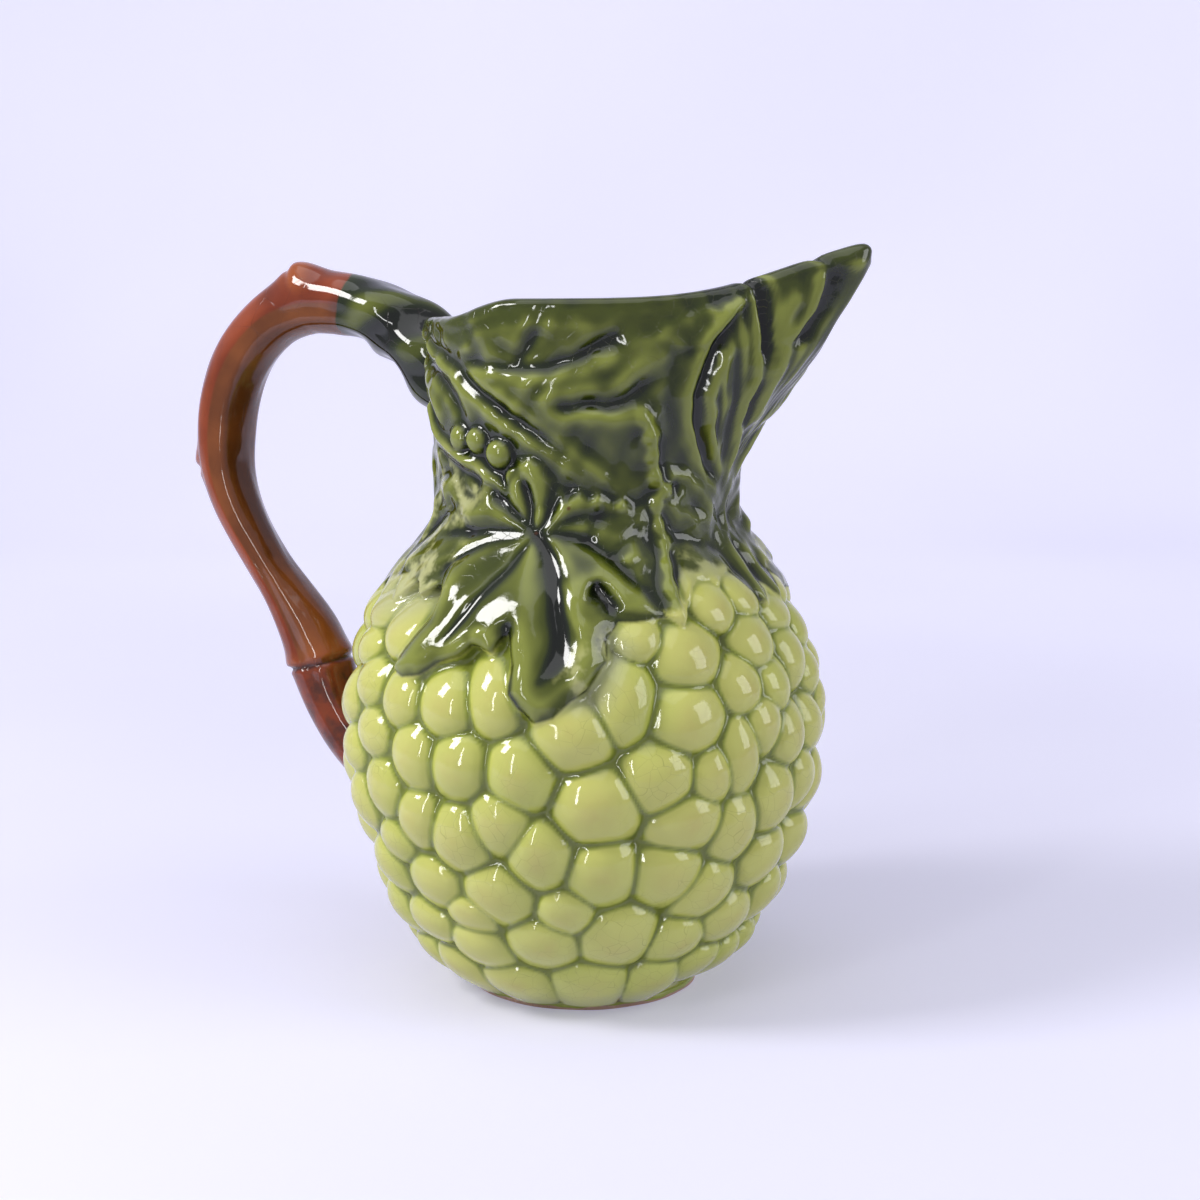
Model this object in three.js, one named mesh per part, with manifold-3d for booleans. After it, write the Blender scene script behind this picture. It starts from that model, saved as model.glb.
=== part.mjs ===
// Glazed earthenware jug: a hollow bowl of grapes, a neck wrapped in vine leaves with a pouring
// spout, and a knotted vine branch as the handle. Millimetres, +Z up, the origin at the centre of
// the foot, the spout towards +X and the handle towards -X. Angles are degrees round the Z axis,
// 0 at the spout.
import * as THREE from "three";
import { ConvexHull } from "three/addons/math/ConvexHull.js";
import { mergeVertices } from "three/addons/utils/BufferGeometryUtils.js";
import Module from "manifold-3d";

const wasm = await Module();
wasm.setup();

// Driving dimensions
const FOOT_RADIUS = 36.5;
const FOOT_THICKNESS = 2.5;
const FOOT_BEVEL = 0.6;
const GAP = 0.3;
const WALL = 4.5;
const FLOOR_THICKNESS = 5;
const SEAM_HEIGHT = 128;
const RIM_HEIGHT = 213.5;
const RIM_EDGE = 1.2;
const RIM_INNER_EDGE = 1.5;
const RIM_CREST_SHARE = 0.45;
const RIM_DIP = 5.5;
const RIM_DIP_ANGLES = [88, 124];
const TIP_RISE = 15.5;
const TIP_SPREAD = 17;
const TIP_ROUNDING = 3;
const STEEPEST_WALL = 2.1;
const GRAPE_DOME = 7.4;
const GRAPE_CREASE = 1.8;
const GRAPE_PIT = 0.8;
const GRAPE_SINK = 0.5;
const LEAF_RISE = 1.8;
const LEAF_LIFT = 0.5;
const LEAF_EDGE = 5;
const LEAF_ROOT = 2;
const STALK_RADIUS = 1.9;
const STALK_SEAT = 1.2;
const BUD_SEAT = 1.6;
const BUD_STRETCH = 1.15;
const BUD_LEAN = 20;
const BUD_TURN = 11;
const FILL_TOP = 250;
const MERGE_DISTANCE = 0.0001;
const SHORTEST_EDGE = 0.02;
const DEG = Math.PI / 180;

// A grape's inner and outer ring: share of the way to its creases, and height over the body
const GRAPE_CROWN = { share: 0.42, relief: 6.7 };
const GRAPE_SHOULDER = { share: 0.78, relief: 4.6 };
// Creases next to the bunch's two edges, and how far the pits between three grapes stand from each
const EDGE_CREASE_SHARE = 0.75;
const PIT_PULL = 0.72;
const PIT_SHARES = [0.25, 0.45];
// Latitudes of the bunch's lower and upper edge on the globe that orders its grapes
const GLOBE_LATITUDES = [-60, 55];

// Radius of the body under its relief: [height, radius]
const BODY_RADIUS = [
  [2.5, 36.6],
  [5, 38.6],
  [10, 43],
  [20, 50.8],
  [30, 56.3],
  [45, 62.5],
  [60, 67],
  [75, 69],
  [88, 69.2],
  [100, 67.5],
  [110, 64.5],
  [120, 60],
  [128, 55.2],
  [135, 50],
  [142, 46],
  [150, 44.2],
  [156, 43.8],
  [165, 44.2],
  [180, 45.2],
  [195, 46.2],
  [213, 47],
  [235, 47],
];

// How far the spout's prow stands out from the round neck: [height, distance]
const SPOUT_REACH = [
  [140, 0],
  [150, 1],
  [158, 3.5],
  [165, 4.6],
  [169, 6.5],
  [175, 10],
  [182, 15.2],
  [193, 24.2],
  [200, 29.6],
  [209, 35],
  [218, 40.2],
  [224, 43],
  [229, 43.6],
  [235, 43.6],
];

// How sharply the spout narrows to its prow and how round the prow is, in degrees: [height, angle]
const SPOUT_SPREAD = [
  [140, 34],
  [175, 26],
  [200, 19],
  [213, 17],
  [235, 17],
];
const PROW_ROUNDING = [
  [140, 16],
  [175, 9],
  [200, 4],
  [213, 3],
  [235, 3],
];

// Grapes on one side of the bunch: [angle, height, half width, half height]
const SIDE_GRAPES = [
  [-50, 119, 7, 6.5],
  [-118, 117, 10, 8],
  [-135, 121, 11, 7],
  [-15, 115, 8.5, 8.6],
  [-38, 114, 11, 11],
  [-134, 111, 9, 7],
  [-24, 103, 8.5, 8.3],
  [-85, 102, 9, 11],
  [-55, 102, 8.6, 12],
  [-12, 102, 8, 8.5],
  [-127, 101, 9.5, 8],
  [-112, 99, 9, 9],
  [-98, 99, 9.6, 9.5],
  [-39, 96, 12, 11],
  [-67, 93, 11.6, 10.5],
  [-139, 94, 9, 9],
  [-18, 92, 8.6, 9.2],
  [-123, 87, 9.6, 8.2],
  [-7, 86, 8.5, 9.5],
  [-26, 84, 8, 13],
  [-107, 83, 9.2, 10.3],
  [-94, 82, 9.4, 10.2],
  [-79, 81, 9.8, 11],
  [-136, 79, 10, 8.7],
  [-47, 80, 11.3, 10.7],
  [-34, 79, 7, 8.5],
  [-61, 72, 12.6, 11.3],
  [-119, 71, 10.5, 10.4],
  [-12, 68, 10.5, 11],
  [-39, 66, 11.5, 9.3],
  [-84, 66, 9.4, 10],
  [-107, 64, 8.6, 9.4],
  [-26, 62, 9, 11],
  [-133, 64, 10, 10],
  [-95, 60, 10.7, 11.3],
  [-75, 57, 9.4, 11],
  [-117, 55, 8.2, 7],
  [-60, 51, 10, 10.4],
  [-43, 50, 10.6, 9.9],
  [-11, 49, 10, 9.2],
  [-126, 45, 10, 9],
  [-106, 44, 11, 9.1],
  [-31, 43, 10, 9.4],
  [-87, 43, 11.4, 10.6],
  [-69, 39, 8, 7.6],
  [-96, 36, 9, 6.6],
  [-19, 31, 11, 8.6],
  [-55, 30, 11.5, 10.8],
  [-115, 29, 10.5, 7],
  [-76, 28, 11, 9.2],
  [-36, 27, 9, 7.5],
  [-97, 24, 10.4, 8.4],
  [-23, 16, 8.5, 6.5],
  [-9, 15, 8.5, 6],
  [-62, 12, 11.6, 9.6],
  [-39, 12, 9, 8],
  [-89, 11, 12, 8],
  [-114, 12, 10, 8],
  [-135, 28, 10.5, 9],
  [-133, 13, 10, 7.5],
];

// Grapes on the front line and round the back, under the handle
const SHARED_GRAPES = [
  [2, 121, 9, 6.5],
  [1, 109, 8.5, 9.5],
  [2, 71, 9, 9],
  [0, 34, 9, 8],
  [180, 118, 11, 9],
  [161, 107, 11, 10],
  [-161, 107, 11, 10],
  [180, 96, 11, 10],
  [158, 88, 11, 10],
  [-158, 88, 11, 10],
  [180, 76, 11, 11],
  [155, 69, 11, 10],
  [-155, 69, 11, 10],
  [180, 55, 11, 11],
  [157, 50, 11, 10],
  [-157, 50, 11, 10],
  [180, 36, 11, 9],
  [154, 32, 11, 10],
  [-154, 32, 11, 10],
  [172, 19, 11, 9],
  [-165, 18, 11, 9],
  [148, 15, 11, 9],
  [-148, 14, 11, 9],
  [151, 120, 11, 8],
  [-151, 120, 11, 8],
];

// The big leaf's centre and its outline round that centre: [angle, height]
const LEAF_CENTRE = [-81, 147];
const LEAF_OUTLINE = [
  [-42, 124],
  [-44, 130],
  [-41, 139],
  [-44, 145],
  [-39, 150],
  [-43, 154],
  [-51, 156],
  [-60, 160],
  [-67, 159],
  [-73, 158],
  [-77, 154],
  [-75, 162],
  [-78, 167],
  [-83, 169],
  [-88, 167],
  [-91, 163],
  [-94, 158],
  [-100, 159.5],
  [-108, 155],
  [-118, 152],
  [-126, 146],
  [-142, 135],
  [-139, 129],
  [-122, 128],
  [-108, 130],
  [-102, 126],
  [-108, 116],
  [-115, 107],
  [-104, 105],
  [-99, 110],
  [-92, 114],
  [-86, 118],
  [-81.5, 119],
  [-81.5, 106],
  [-79, 101],
  [-76, 96],
  [-72, 99],
  [-66, 103],
  [-63, 109],
  [-59, 115],
  [-55, 122],
  [-50, 122],
];

// Relief lines on one side of the neck: {height, half width, path of [angle, height]}
const NECK_LINES = [
  { rise: 2.4, reach: 5, path: [[-152, 204], [-130, 194], [-116, 184], [-108, 176]] },
  { rise: 2.4, reach: 5, path: [[-125, 201], [-99, 188], [-80, 176], [-60, 163]] },
  { rise: 1.8, reach: 4.5, path: [[-112, 197], [-79, 196], [-52, 205]] },
  { rise: -1.6, reach: 4, path: [[-72, 184], [-60, 184], [-46, 186]] },
  { rise: 2.4, reach: 4.5, path: [[-46, 182], [-41, 170], [-37, 158], [-38, 146], [-38, 128]] },
  { rise: 2.2, reach: 5, path: [[-23, 211], [-29, 200], [-31, 188], [-28, 177], [-18, 165], [-4, 150]] },
  { rise: 1.6, reach: 4, path: [[-15, 212], [-13, 196], [-12, 184], [-8, 172]] },
  { rise: 1.2, reach: 4, path: [[0, 222], [0, 190], [0, 160], [0, 128]] },
  { rise: 1.8, reach: 6, path: [[-24, 136], [-18, 129]] },
];

// Grooves and folds of the big leaf: {height, half width, path of [angle, height]}
const LEAF_LINES = [
  { rise: -2.2, reach: 3, path: [[-79, 145], [-72, 134], [-70, 116], [-73, 106], [-78, 101]] },
  { rise: -1.8, reach: 2.6, path: [[-77, 146], [-67, 146], [-58, 140], [-49, 131], [-43, 125]] },
  { rise: -1.6, reach: 2.4, path: [[-84, 145], [-94, 130], [-106, 114], [-113, 108]] },
  { rise: -1.5, reach: 2.6, path: [[-85, 147], [-99, 145], [-115, 142], [-138, 134]] },
  { rise: -2, reach: 2.6, path: [[-82, 149], [-84, 158], [-87, 165]] },
  { rise: -1.8, reach: 2.4, path: [[-79, 149], [-74, 157]] },
  { rise: -1.6, reach: 2.4, path: [[-86, 150], [-98, 158]] },
  { rise: 1.2, reach: 4, path: [[-76, 140], [-66, 130], [-62, 118]] },
  { rise: 1.2, reach: 4, path: [[-82, 138], [-78, 120], [-77, 106]] },
  { rise: 1, reach: 4, path: [[-74, 152], [-60, 151], [-48, 144]] },
];

// The bud sprig: its stalk and its three buds, [angle, height] and radius
const STALK_PATH = [
  [-134, 186],
  [-131, 178],
  [-125, 171.5],
  [-115, 167.5],
  [-107, 166.5],
  [-101, 165],
];
const BUDS = [
  { angle: -117, height: 172, radius: 4 },
  { angle: -107, height: 171.4, radius: 4 },
  { angle: -98.5, height: 169, radius: 4.6 },
];

// The handle's centre line, from the neck's wall to inside the belly: [x, z]
const HANDLE_PATH = [
  [-40, 186],
  [-50, 193],
  [-60, 201.5],
  [-70, 207.8],
  [-80, 210.8],
  [-89, 211.8],
  [-98, 211.3],
  [-110, 207.3],
  [-119.5, 200],
  [-126.5, 190.5],
  [-130.8, 179],
  [-132.4, 167],
  [-132, 157],
  [-129.5, 148],
  [-124.8, 138.5],
  [-117.8, 127.5],
  [-110.5, 116.5],
  [-103.6, 104.5],
  [-97.6, 93],
  [-91, 81],
  [-83, 69.5],
  [-73, 59],
  [-62, 51],
];
// Half sizes of the branch's section: [share of its length, half size]
const HANDLE_DEPTH = [
  [0, 19],
  [0.04, 17],
  [0.08, 13.6],
  [0.12, 11.6],
  [0.2, 10.8],
  [0.34, 10.8],
  [0.6, 10.4],
  [0.86, 10],
  [1, 8.5],
];
const HANDLE_HALF_WIDTH = [
  [0, 15],
  [0.08, 13.5],
  [0.2, 12],
  [0.34, 11.4],
  [0.6, 11],
  [0.86, 11],
  [1, 11.5],
];
// Knots of the branch: share of its length, rise, half length
const HANDLE_KNOTS = [
  { at: 0.24, rise: 3, reach: 5 },
  { at: 0.5, rise: 2.6, reach: 4.5 },
  { at: 0.79, rise: 2.6, reach: 4.5 },
];

// Mesh steps
const BELLY_SIDES = 40;
const CAVITY_ROWS = 9;
const NECK_SIDES = 80;
const NECK_ROWS = 19;
const INNER_ROWS = 6;
const FRONT_CROWDING = 0.3;
const STALK_SIDES = 6;
const STALK_RINGS = 11;
const HANDLE_SIDES = 14;
const HANDLE_RINGS = 32;
const KNOT_RINGS = [-0.022, -0.012, 0, 0.012, 0.022];
const LEAF_STEP = 5;
const LEAF_RINGS = [0.35, 0.62, 0.84, 1];

// Smooth interpolation in a table of [place, value]
function smoothValue(table, place) {
  const last = table.length - 1;
  if (place <= table[0][0]) return table[0][1];
  if (place >= table[last][0]) return table[last][1];
  let k = 0;
  while (table[k + 1][0] < place) k++;
  const slopeAt = (n) => {
    const a = Math.max(n - 1, 0);
    const b = Math.min(n + 1, last);
    return (table[b][1] - table[a][1]) / (table[b][0] - table[a][0]);
  };
  const span = table[k + 1][0] - table[k][0];
  const t = (place - table[k][0]) / span;
  const t2 = t * t;
  const t3 = t2 * t;
  return (
    (2 * t3 - 3 * t2 + 1) * table[k][1] +
    (t3 - 2 * t2 + t) * span * slopeAt(k) +
    (3 * t2 - 2 * t3) * table[k + 1][1] +
    (t3 - t2) * span * slopeAt(k + 1)
  );
}

function smoothStep(low, high, value) {
  const t = Math.min(Math.max((value - low) / (high - low), 0), 1);
  return t * t * (3 - 2 * t);
}

// The angle folded into -180 to 180 degrees
function foldAngle(angle) {
  return ((((angle + 180) % 360) + 360) % 360) - 180;
}

function onAxis(angle, height, radius) {
  return new THREE.Vector3(
    radius * Math.cos(angle * DEG),
    radius * Math.sin(angle * DEG),
    height,
  );
}

function segmentDistance(angle, height, from, to) {
  const du = to[0] - from[0];
  const dv = to[1] - from[1];
  const along = ((angle - from[0]) * du + (height - from[1]) * dv) / (du * du + dv * dv);
  const t = Math.min(Math.max(along, 0), 1);
  return Math.hypot(angle - from[0] - t * du, height - from[1] - t * dv);
}

// Relief of a set of lines at a place on one side, a rounded bump or groove across each line
function lineRelief(lines, angle, height) {
  let sum = 0;
  for (const line of lines) {
    let nearest = Infinity;
    for (let k = 0; k + 1 < line.path.length; k++)
      nearest = Math.min(nearest, segmentDistance(angle, height, line.path[k], line.path[k + 1]));
    sum += line.rise * Math.exp(-((nearest / line.reach) ** 2) * 1.6);
  }
  return sum;
}

// Distance inside the big leaf's outline, negative outside it
function leafDepth(angle, height) {
  let inside = false;
  let nearest = Infinity;
  for (let k = 0; k < LEAF_OUTLINE.length; k++) {
    const a = LEAF_OUTLINE[k];
    const b = LEAF_OUTLINE[(k + 1) % LEAF_OUTLINE.length];
    nearest = Math.min(nearest, segmentDistance(angle, height, a, b));
    if (a[1] > height !== b[1] > height) {
      const crossing = a[0] + ((height - a[1]) / (b[1] - a[1])) * (b[0] - a[0]);
      if (angle < crossing) inside = !inside;
    }
  }
  return inside ? nearest : -nearest;
}

// The smooth round body with its spout, before any relief
function bodyRadius(angle, height) {
  const reach = smoothValue(SPOUT_REACH, height);
  const spread = smoothValue(SPOUT_SPREAD, height);
  const rounding = smoothValue(PROW_ROUNDING, height);
  const off = Math.abs(foldAngle(angle));
  const prow = Math.exp(-(Math.hypot(off, rounding) - rounding) / spread);
  return smoothValue(BODY_RADIUS, height) + reach * prow;
}

const GRAPES = [
  ...SIDE_GRAPES,
  ...SIDE_GRAPES.map(([angle, height, width, tall]) => [-angle, height, width, tall]),
  ...SHARED_GRAPES,
];

// How far the leaves stand out from the body: [height, distance]
const RELIEF_LEVEL = [
  [100, 7.2],
  [116, 7.2],
  [128, 6.6],
  [135, 5.6],
  [140, 4.6],
  [145, 3],
  [150, 2.2],
  [235, 2.2],
];
const NECK_DROP = 1.2;

// The bunch's relief is lower where the big leaf lies on it
function sunkRelief(angle, height, relief) {
  const hidden = smoothStep(-2, 4, leafDepth(-Math.abs(foldAngle(angle)), height));
  return relief * (1 - GRAPE_SINK * hidden);
}

function neckOuter(angle, height) {
  const side = -Math.abs(foldAngle(angle));
  const under = smoothStep(-1, 3, leafDepth(side, height));
  const relief = lineRelief(NECK_LINES, side, height);
  const rimBand = smoothStep(1, 5, rimHeight(angle) - height);
  const level = smoothValue(RELIEF_LEVEL, height) - NECK_DROP;
  const shown = (1 - 0.8 * under) * (0.25 + 0.75 * rimBand);
  return bodyRadius(angle, height) + level + relief * shown;
}

// The rim rises to the spout's tip and dips in front of the handle
function rimHeight(angle) {
  const off = Math.abs(foldAngle(angle));
  const reach = Math.exp(-(Math.hypot(off, TIP_ROUNDING) - TIP_ROUNDING) / TIP_SPREAD);
  const [dipStart, dipEnd] = RIM_DIP_ANGLES;
  return RIM_HEIGHT + TIP_RISE * reach ** 1.4 - RIM_DIP * smoothStep(dipStart, dipEnd, off);
}

// Wall measured square to the surface, as a distance along the radius
function radialWall(angle, height) {
  const step = 1;
  const arc = 2 * step * DEG * bodyRadius(angle, height);
  const round = (bodyRadius(angle + step, height) - bodyRadius(angle - step, height)) / arc;
  const up = (bodyRadius(angle, height + step) - bodyRadius(angle, height - step)) / (2 * step);
  return WALL * Math.min(Math.sqrt(1 + round * round + up * up), STEEPEST_WALL);
}

// Closed mesh from a chain of rings: neighbours have the same count, or one has twice the other's
class RingMesh {
  constructor() {
    this.points = [];
    this.faces = [];
  }

  ring(vertices) {
    const first = this.points.length;
    this.points.push(...vertices);
    return vertices.map((_, n) => first + n);
  }

  band(low, high) {
    if (low.length < high.length) {
      const firstFace = this.faces.length;
      this.band(high, low);
      for (let n = firstFace; n < this.faces.length; n++) this.faces[n].reverse();
      return;
    }
    const step = low.length / high.length;
    for (let n = 0; n < high.length; n++) {
      const next = (n + 1) % high.length;
      const a = low[n * step];
      const middle = low[(n * step + 1) % low.length];
      const b = low[((n + 1) * step) % low.length];
      if (step === 1) {
        this.faces.push([a, b, high[next]], [a, high[next], high[n]]);
      } else {
        this.faces.push([a, middle, high[n]], [middle, high[next], high[n]], [middle, b, high[next]]);
      }
    }
  }

  // A fan closes a ring: up is true when the fan is above the ring that it closes
  fan(ring, centre, up) {
    const middle = this.ring([centre])[0];
    for (let n = 0; n < ring.length; n++) {
      const next = (n + 1) % ring.length;
      this.faces.push(up ? [ring[n], ring[next], middle] : [ring[next], ring[n], middle]);
    }
  }

  geometry() {
    const geometry = new THREE.BufferGeometry();
    geometry.setAttribute(
      "position",
      new THREE.Float32BufferAttribute(this.points.flatMap((p) => [p.x, p.y, p.z]), 3),
    );
    geometry.setIndex(this.faces.flat());
    return geometry;
  }
}

function solidOf(geometry) {
  const bare = geometry.clone();
  bare.deleteAttribute("normal");
  bare.deleteAttribute("uv");
  const merged = mergeVertices(bare, MERGE_DISTANCE);
  return new wasm.Manifold(
    new wasm.Mesh({
      numProp: 3,
      vertProperties: merged.attributes.position.array,
      triVerts: new Uint32Array(merged.index.array),
    }),
  );
}

function geometryOf(solid) {
  const mesh = solid.getMesh();
  const geometry = new THREE.BufferGeometry();
  geometry.setAttribute("position", new THREE.BufferAttribute(new Float32Array(mesh.vertProperties), 3));
  geometry.setIndex(new THREE.BufferAttribute(new Uint32Array(mesh.triVerts), 1));
  return geometry;
}

function bellyAngles(count) {
  return Array.from({ length: count }, (_, n) => (360 * n) / count);
}

// The neck's columns stand closer together round the spout
function neckAngles(count) {
  return Array.from({ length: count }, (_, n) => {
    const even = (360 * n) / count;
    return even - (FRONT_CROWDING / DEG) * Math.sin(even * DEG);
  });
}

const BELLY_BASE = FOOT_THICKNESS + GAP;
const BELLY_TOP = SEAM_HEIGHT - GAP / 2;
const NECK_BASE = SEAM_HEIGHT + GAP / 2;

function neckRings(mesh, grow) {
  const angles = neckAngles(NECK_SIDES);
  const rings = [];
  for (let row = 0; row <= NECK_ROWS; row++) {
    const share = row / NECK_ROWS;
    rings.push(
      mesh.ring(
        angles.map((a) => {
          const height = NECK_BASE + (rimHeight(a) - RIM_EDGE - NECK_BASE) * share;
          return onAxis(a, height, neckOuter(a, height) + grow);
        }),
      ),
    );
  }
  return rings;
}

function joinBands(mesh, rings) {
  for (let n = 0; n + 1 < rings.length; n++) mesh.band(rings[n], rings[n + 1]);
}

// The bunch's places on a globe, which puts neighbouring grapes next to each other
function onGlobe(angle, height) {
  const [low, high] = GLOBE_LATITUDES;
  const latitude = low + ((high - low) * (height - BELLY_BASE)) / (BELLY_TOP - BELLY_BASE);
  return onAxis(angle, Math.sin(latitude * DEG), Math.cos(latitude * DEG));
}

// A place part of the way from one place to another, the short way round
function placeBetween(from, to, share) {
  return [from[0] + foldAngle(to[0] - from[0]) * share, from[1] + (to[1] - from[1]) * share];
}

// Mean size of the grape at a place, or nothing at the bunch's edges
function grapeSize(n) {
  return n < GRAPES.length ? (GRAPES[n][2] + GRAPES[n][3]) / 2 : 0;
}

// How far along a line from one place to another their crease lies
function creaseShare(from, to) {
  const [here, there] = [grapeSize(from), grapeSize(to)];
  if (here && there) return here / (here + there);
  return here ? EDGE_CREASE_SHARE : 1 - EDGE_CREASE_SHARE;
}

// Outside of the bunch: every grape is a facetted dome, with its creases half way to its neighbours
function bunchOutside(mesh, grow) {
  const edgePlaces = (height) => bellyAngles(BELLY_SIDES).map((angle) => [angle, height]);
  const places = [
    ...GRAPES.map(([angle, height]) => [foldAngle(angle), height]),
    ...edgePlaces(BELLY_BASE),
    ...edgePlaces(BELLY_TOP),
  ];
  const globe = places.map(([angle, height]) => onGlobe(angle, height));
  const poles = [new THREE.Vector3(0, 0, 1), new THREE.Vector3(0, 0, -1)];
  const hull = new ConvexHull().setFromPoints([...globe, ...poles]);
  const known = new Map();
  const vertex = (key, place, relief) => {
    if (!known.has(key)) {
      const [angle, height] = place;
      const radius = smoothValue(BODY_RADIUS, height) + sunkRelief(angle, height, relief) + grow;
      known.set(key, mesh.ring([onAxis(angle, height, radius)])[0]);
    }
    return known.get(key);
  };
  const isGrape = (n) => n < GRAPES.length;
  const centreRelief = (n) => {
    if (isGrape(n)) return GRAPE_DOME;
    return places[n][1] === BELLY_TOP ? smoothValue(RELIEF_LEVEL, BELLY_TOP) - NECK_DROP : 0;
  };
  const inOrder = (m, n) => (m < n ? [m, n] : [n, m]);
  const creasePlace = (m, n) => {
    const [first, second] = inOrder(m, n);
    return placeBetween(places[first], places[second], creaseShare(first, second));
  };
  const crease = (m, n) => vertex(`crease ${inOrder(m, n)}`, creasePlace(m, n), GRAPE_CREASE);
  places.forEach((place, n) => vertex(`centre ${n}`, place, centreRelief(n)));
  for (const face of hull.faces) {
    const corners = [face.edge.head(), face.edge.next.head(), face.edge.prev.head()].map((node) =>
      globe.indexOf(node.point),
    );
    if (corners.includes(-1)) continue;
    const [a, b, c] = corners;
    const middle = placeBetween(places[a], places[b], isGrape(a) || isGrape(b) ? creaseShare(a, b) : 0.5);
    const beside = (grapeSize(a) + grapeSize(b)) / 2 + 1;
    const pull = (PIT_PULL * beside) / (beside + grapeSize(c) + 1);
    const pitShare = Math.min(Math.max(pull, PIT_SHARES[0]), PIT_SHARES[1]);
    const pitPlace = placeBetween(middle, places[c], pitShare);
    const pitKey = `pit ${[a, b, c].sort((m, n) => m - n)}`;
    const pit = vertex(pitKey, pitPlace, GRAPE_PIT);
    for (let n = 0; n < 3; n++) {
      const corner = corners[n];
      const next = corners[(n + 1) % 3];
      const last = corners[(n + 2) % 3];
      const centre = vertex(`centre ${corner}`);
      if (!isGrape(corner)) {
        const beyond = isGrape(next) ? crease(corner, next) : vertex(`centre ${next}`);
        mesh.faces.push([centre, beyond, pit]);
        if (isGrape(last)) mesh.faces.push([centre, pit, crease(last, corner)]);
        continue;
      }
      const ringVertex = (ring, key, target) => {
        const place = placeBetween(places[corner], target, ring.share);
        return vertex(`${ring.share} ${corner} ${key}`, place, ring.relief);
      };
      const towards = (ring, other) => ringVertex(ring, other, creasePlace(corner, other));
      const [crownNext, crownLast] = [towards(GRAPE_CROWN, next), towards(GRAPE_CROWN, last)];
      const [edgeNext, edgeLast] = [towards(GRAPE_SHOULDER, next), towards(GRAPE_SHOULDER, last)];
      const edgePit = ringVertex(GRAPE_SHOULDER, pitKey, pitPlace);
      mesh.faces.push(
        [centre, crownNext, crownLast],
        [crownNext, edgeNext, edgePit],
        [crownNext, edgePit, crownLast],
        [crownLast, edgePit, edgeLast],
        [edgeNext, crease(corner, next), pit],
        [edgeNext, pit, edgePit],
        [edgePit, pit, crease(corner, last)],
        [edgePit, crease(corner, last), edgeLast],
      );
    }
  }
  const edgeRing = (first) => places.slice(0, BELLY_SIDES).map((_, n) => vertex(`centre ${first + n}`));
  return { bottom: edgeRing(GRAPES.length), top: edgeRing(GRAPES.length + BELLY_SIDES) };
}

// The bunch filled, a gap larger all round
function makeBunchFill() {
  const mesh = new RingMesh();
  const { bottom, top } = bunchOutside(mesh, GAP);
  mesh.fan(bottom, new THREE.Vector3(0, 0, BELLY_BASE), false);
  mesh.fan(top, new THREE.Vector3(0, 0, BELLY_TOP), true);
  return solidOf(mesh.geometry());
}

function makeBelly() {
  const mesh = new RingMesh();
  const { bottom, top } = bunchOutside(mesh, 0);
  const floor = BELLY_BASE + FLOOR_THICKNESS;
  const rings = [top];
  for (let row = CAVITY_ROWS; row >= 0; row--) {
    const height = floor + ((BELLY_TOP - floor) * row) / CAVITY_ROWS;
    const radius = smoothValue(BODY_RADIUS, height) - WALL;
    rings.push(mesh.ring(bellyAngles(BELLY_SIDES).map((a) => onAxis(a, height, radius))));
  }
  joinBands(mesh, rings);
  mesh.fan(rings[rings.length - 1], new THREE.Vector3(0, 0, floor), true);
  mesh.fan(bottom, new THREE.Vector3(0, 0, BELLY_BASE), false);
  return mesh.geometry();
}

function makeNeck() {
  const mesh = new RingMesh();
  const rings = neckRings(mesh, 0);
  const columns = neckAngles(NECK_SIDES);
  rings.push(
    mesh.ring(
      columns.map((a) => {
        const height = rimHeight(a);
        return onAxis(a, height, bodyRadius(a, height) - radialWall(a, height) * RIM_CREST_SHARE);
      }),
    ),
  );
  const angles = columns.filter((_, n) => n % 2 === 0);
  for (let row = INNER_ROWS; row >= 0; row--) {
    rings.push(
      mesh.ring(
        angles.map((a) => {
          const height = NECK_BASE + ((rimHeight(a) - RIM_INNER_EDGE - NECK_BASE) * row) / INNER_ROWS;
          return onAxis(a, height, bodyRadius(a, height) - radialWall(a, height));
        }),
      ),
    );
  }
  joinBands(mesh, rings);
  mesh.band(rings[rings.length - 1], rings[0]);
  return mesh.geometry();
}

function makeFoot() {
  const profile = [
    [0, 0],
    [FOOT_RADIUS - FOOT_BEVEL, 0],
    [FOOT_RADIUS, FOOT_BEVEL],
    [FOOT_RADIUS, FOOT_THICKNESS],
    [0, FOOT_THICKNESS],
  ].map(([x, y]) => new THREE.Vector2(x, y));
  return new THREE.LatheGeometry(profile, 48).rotateX(Math.PI / 2);
}

// The filled outside of the neck, a gap larger all round, carried on above the rim
function makeNeckFill() {
  const mesh = new RingMesh();
  const angles = neckAngles(NECK_SIDES);
  const base = BELLY_TOP - 1;
  const endRing = (height, radiusAt) => mesh.ring(angles.map((a) => onAxis(a, height, radiusAt(a) + GAP)));
  const low = endRing(base, (a) => neckOuter(a, NECK_BASE));
  const rings = [low, ...neckRings(mesh, GAP)];
  const high = endRing(FILL_TOP, (a) => neckOuter(a, rimHeight(a) - RIM_EDGE));
  joinBands(mesh, [...rings, high]);
  mesh.fan(low, new THREE.Vector3(0, 0, base), false);
  mesh.fan(high, new THREE.Vector3(0, 0, FILL_TOP), true);
  return solidOf(mesh.geometry());
}

// The big leaf's upper surface: its edge sits down between the grapes, its middle rides over them
function leafTop(angle, height) {
  const depth = Math.max(leafDepth(angle, height), 0);
  const inward = smoothStep(0, LEAF_EDGE, depth);
  const level = smoothValue(RELIEF_LEVEL, height) * (0.8 + 0.2 * inward) + LEAF_LIFT;
  const relief = LEAF_RISE + lineRelief(LEAF_LINES, angle, height);
  return bodyRadius(angle, height) + level + relief * inward;
}

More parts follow.
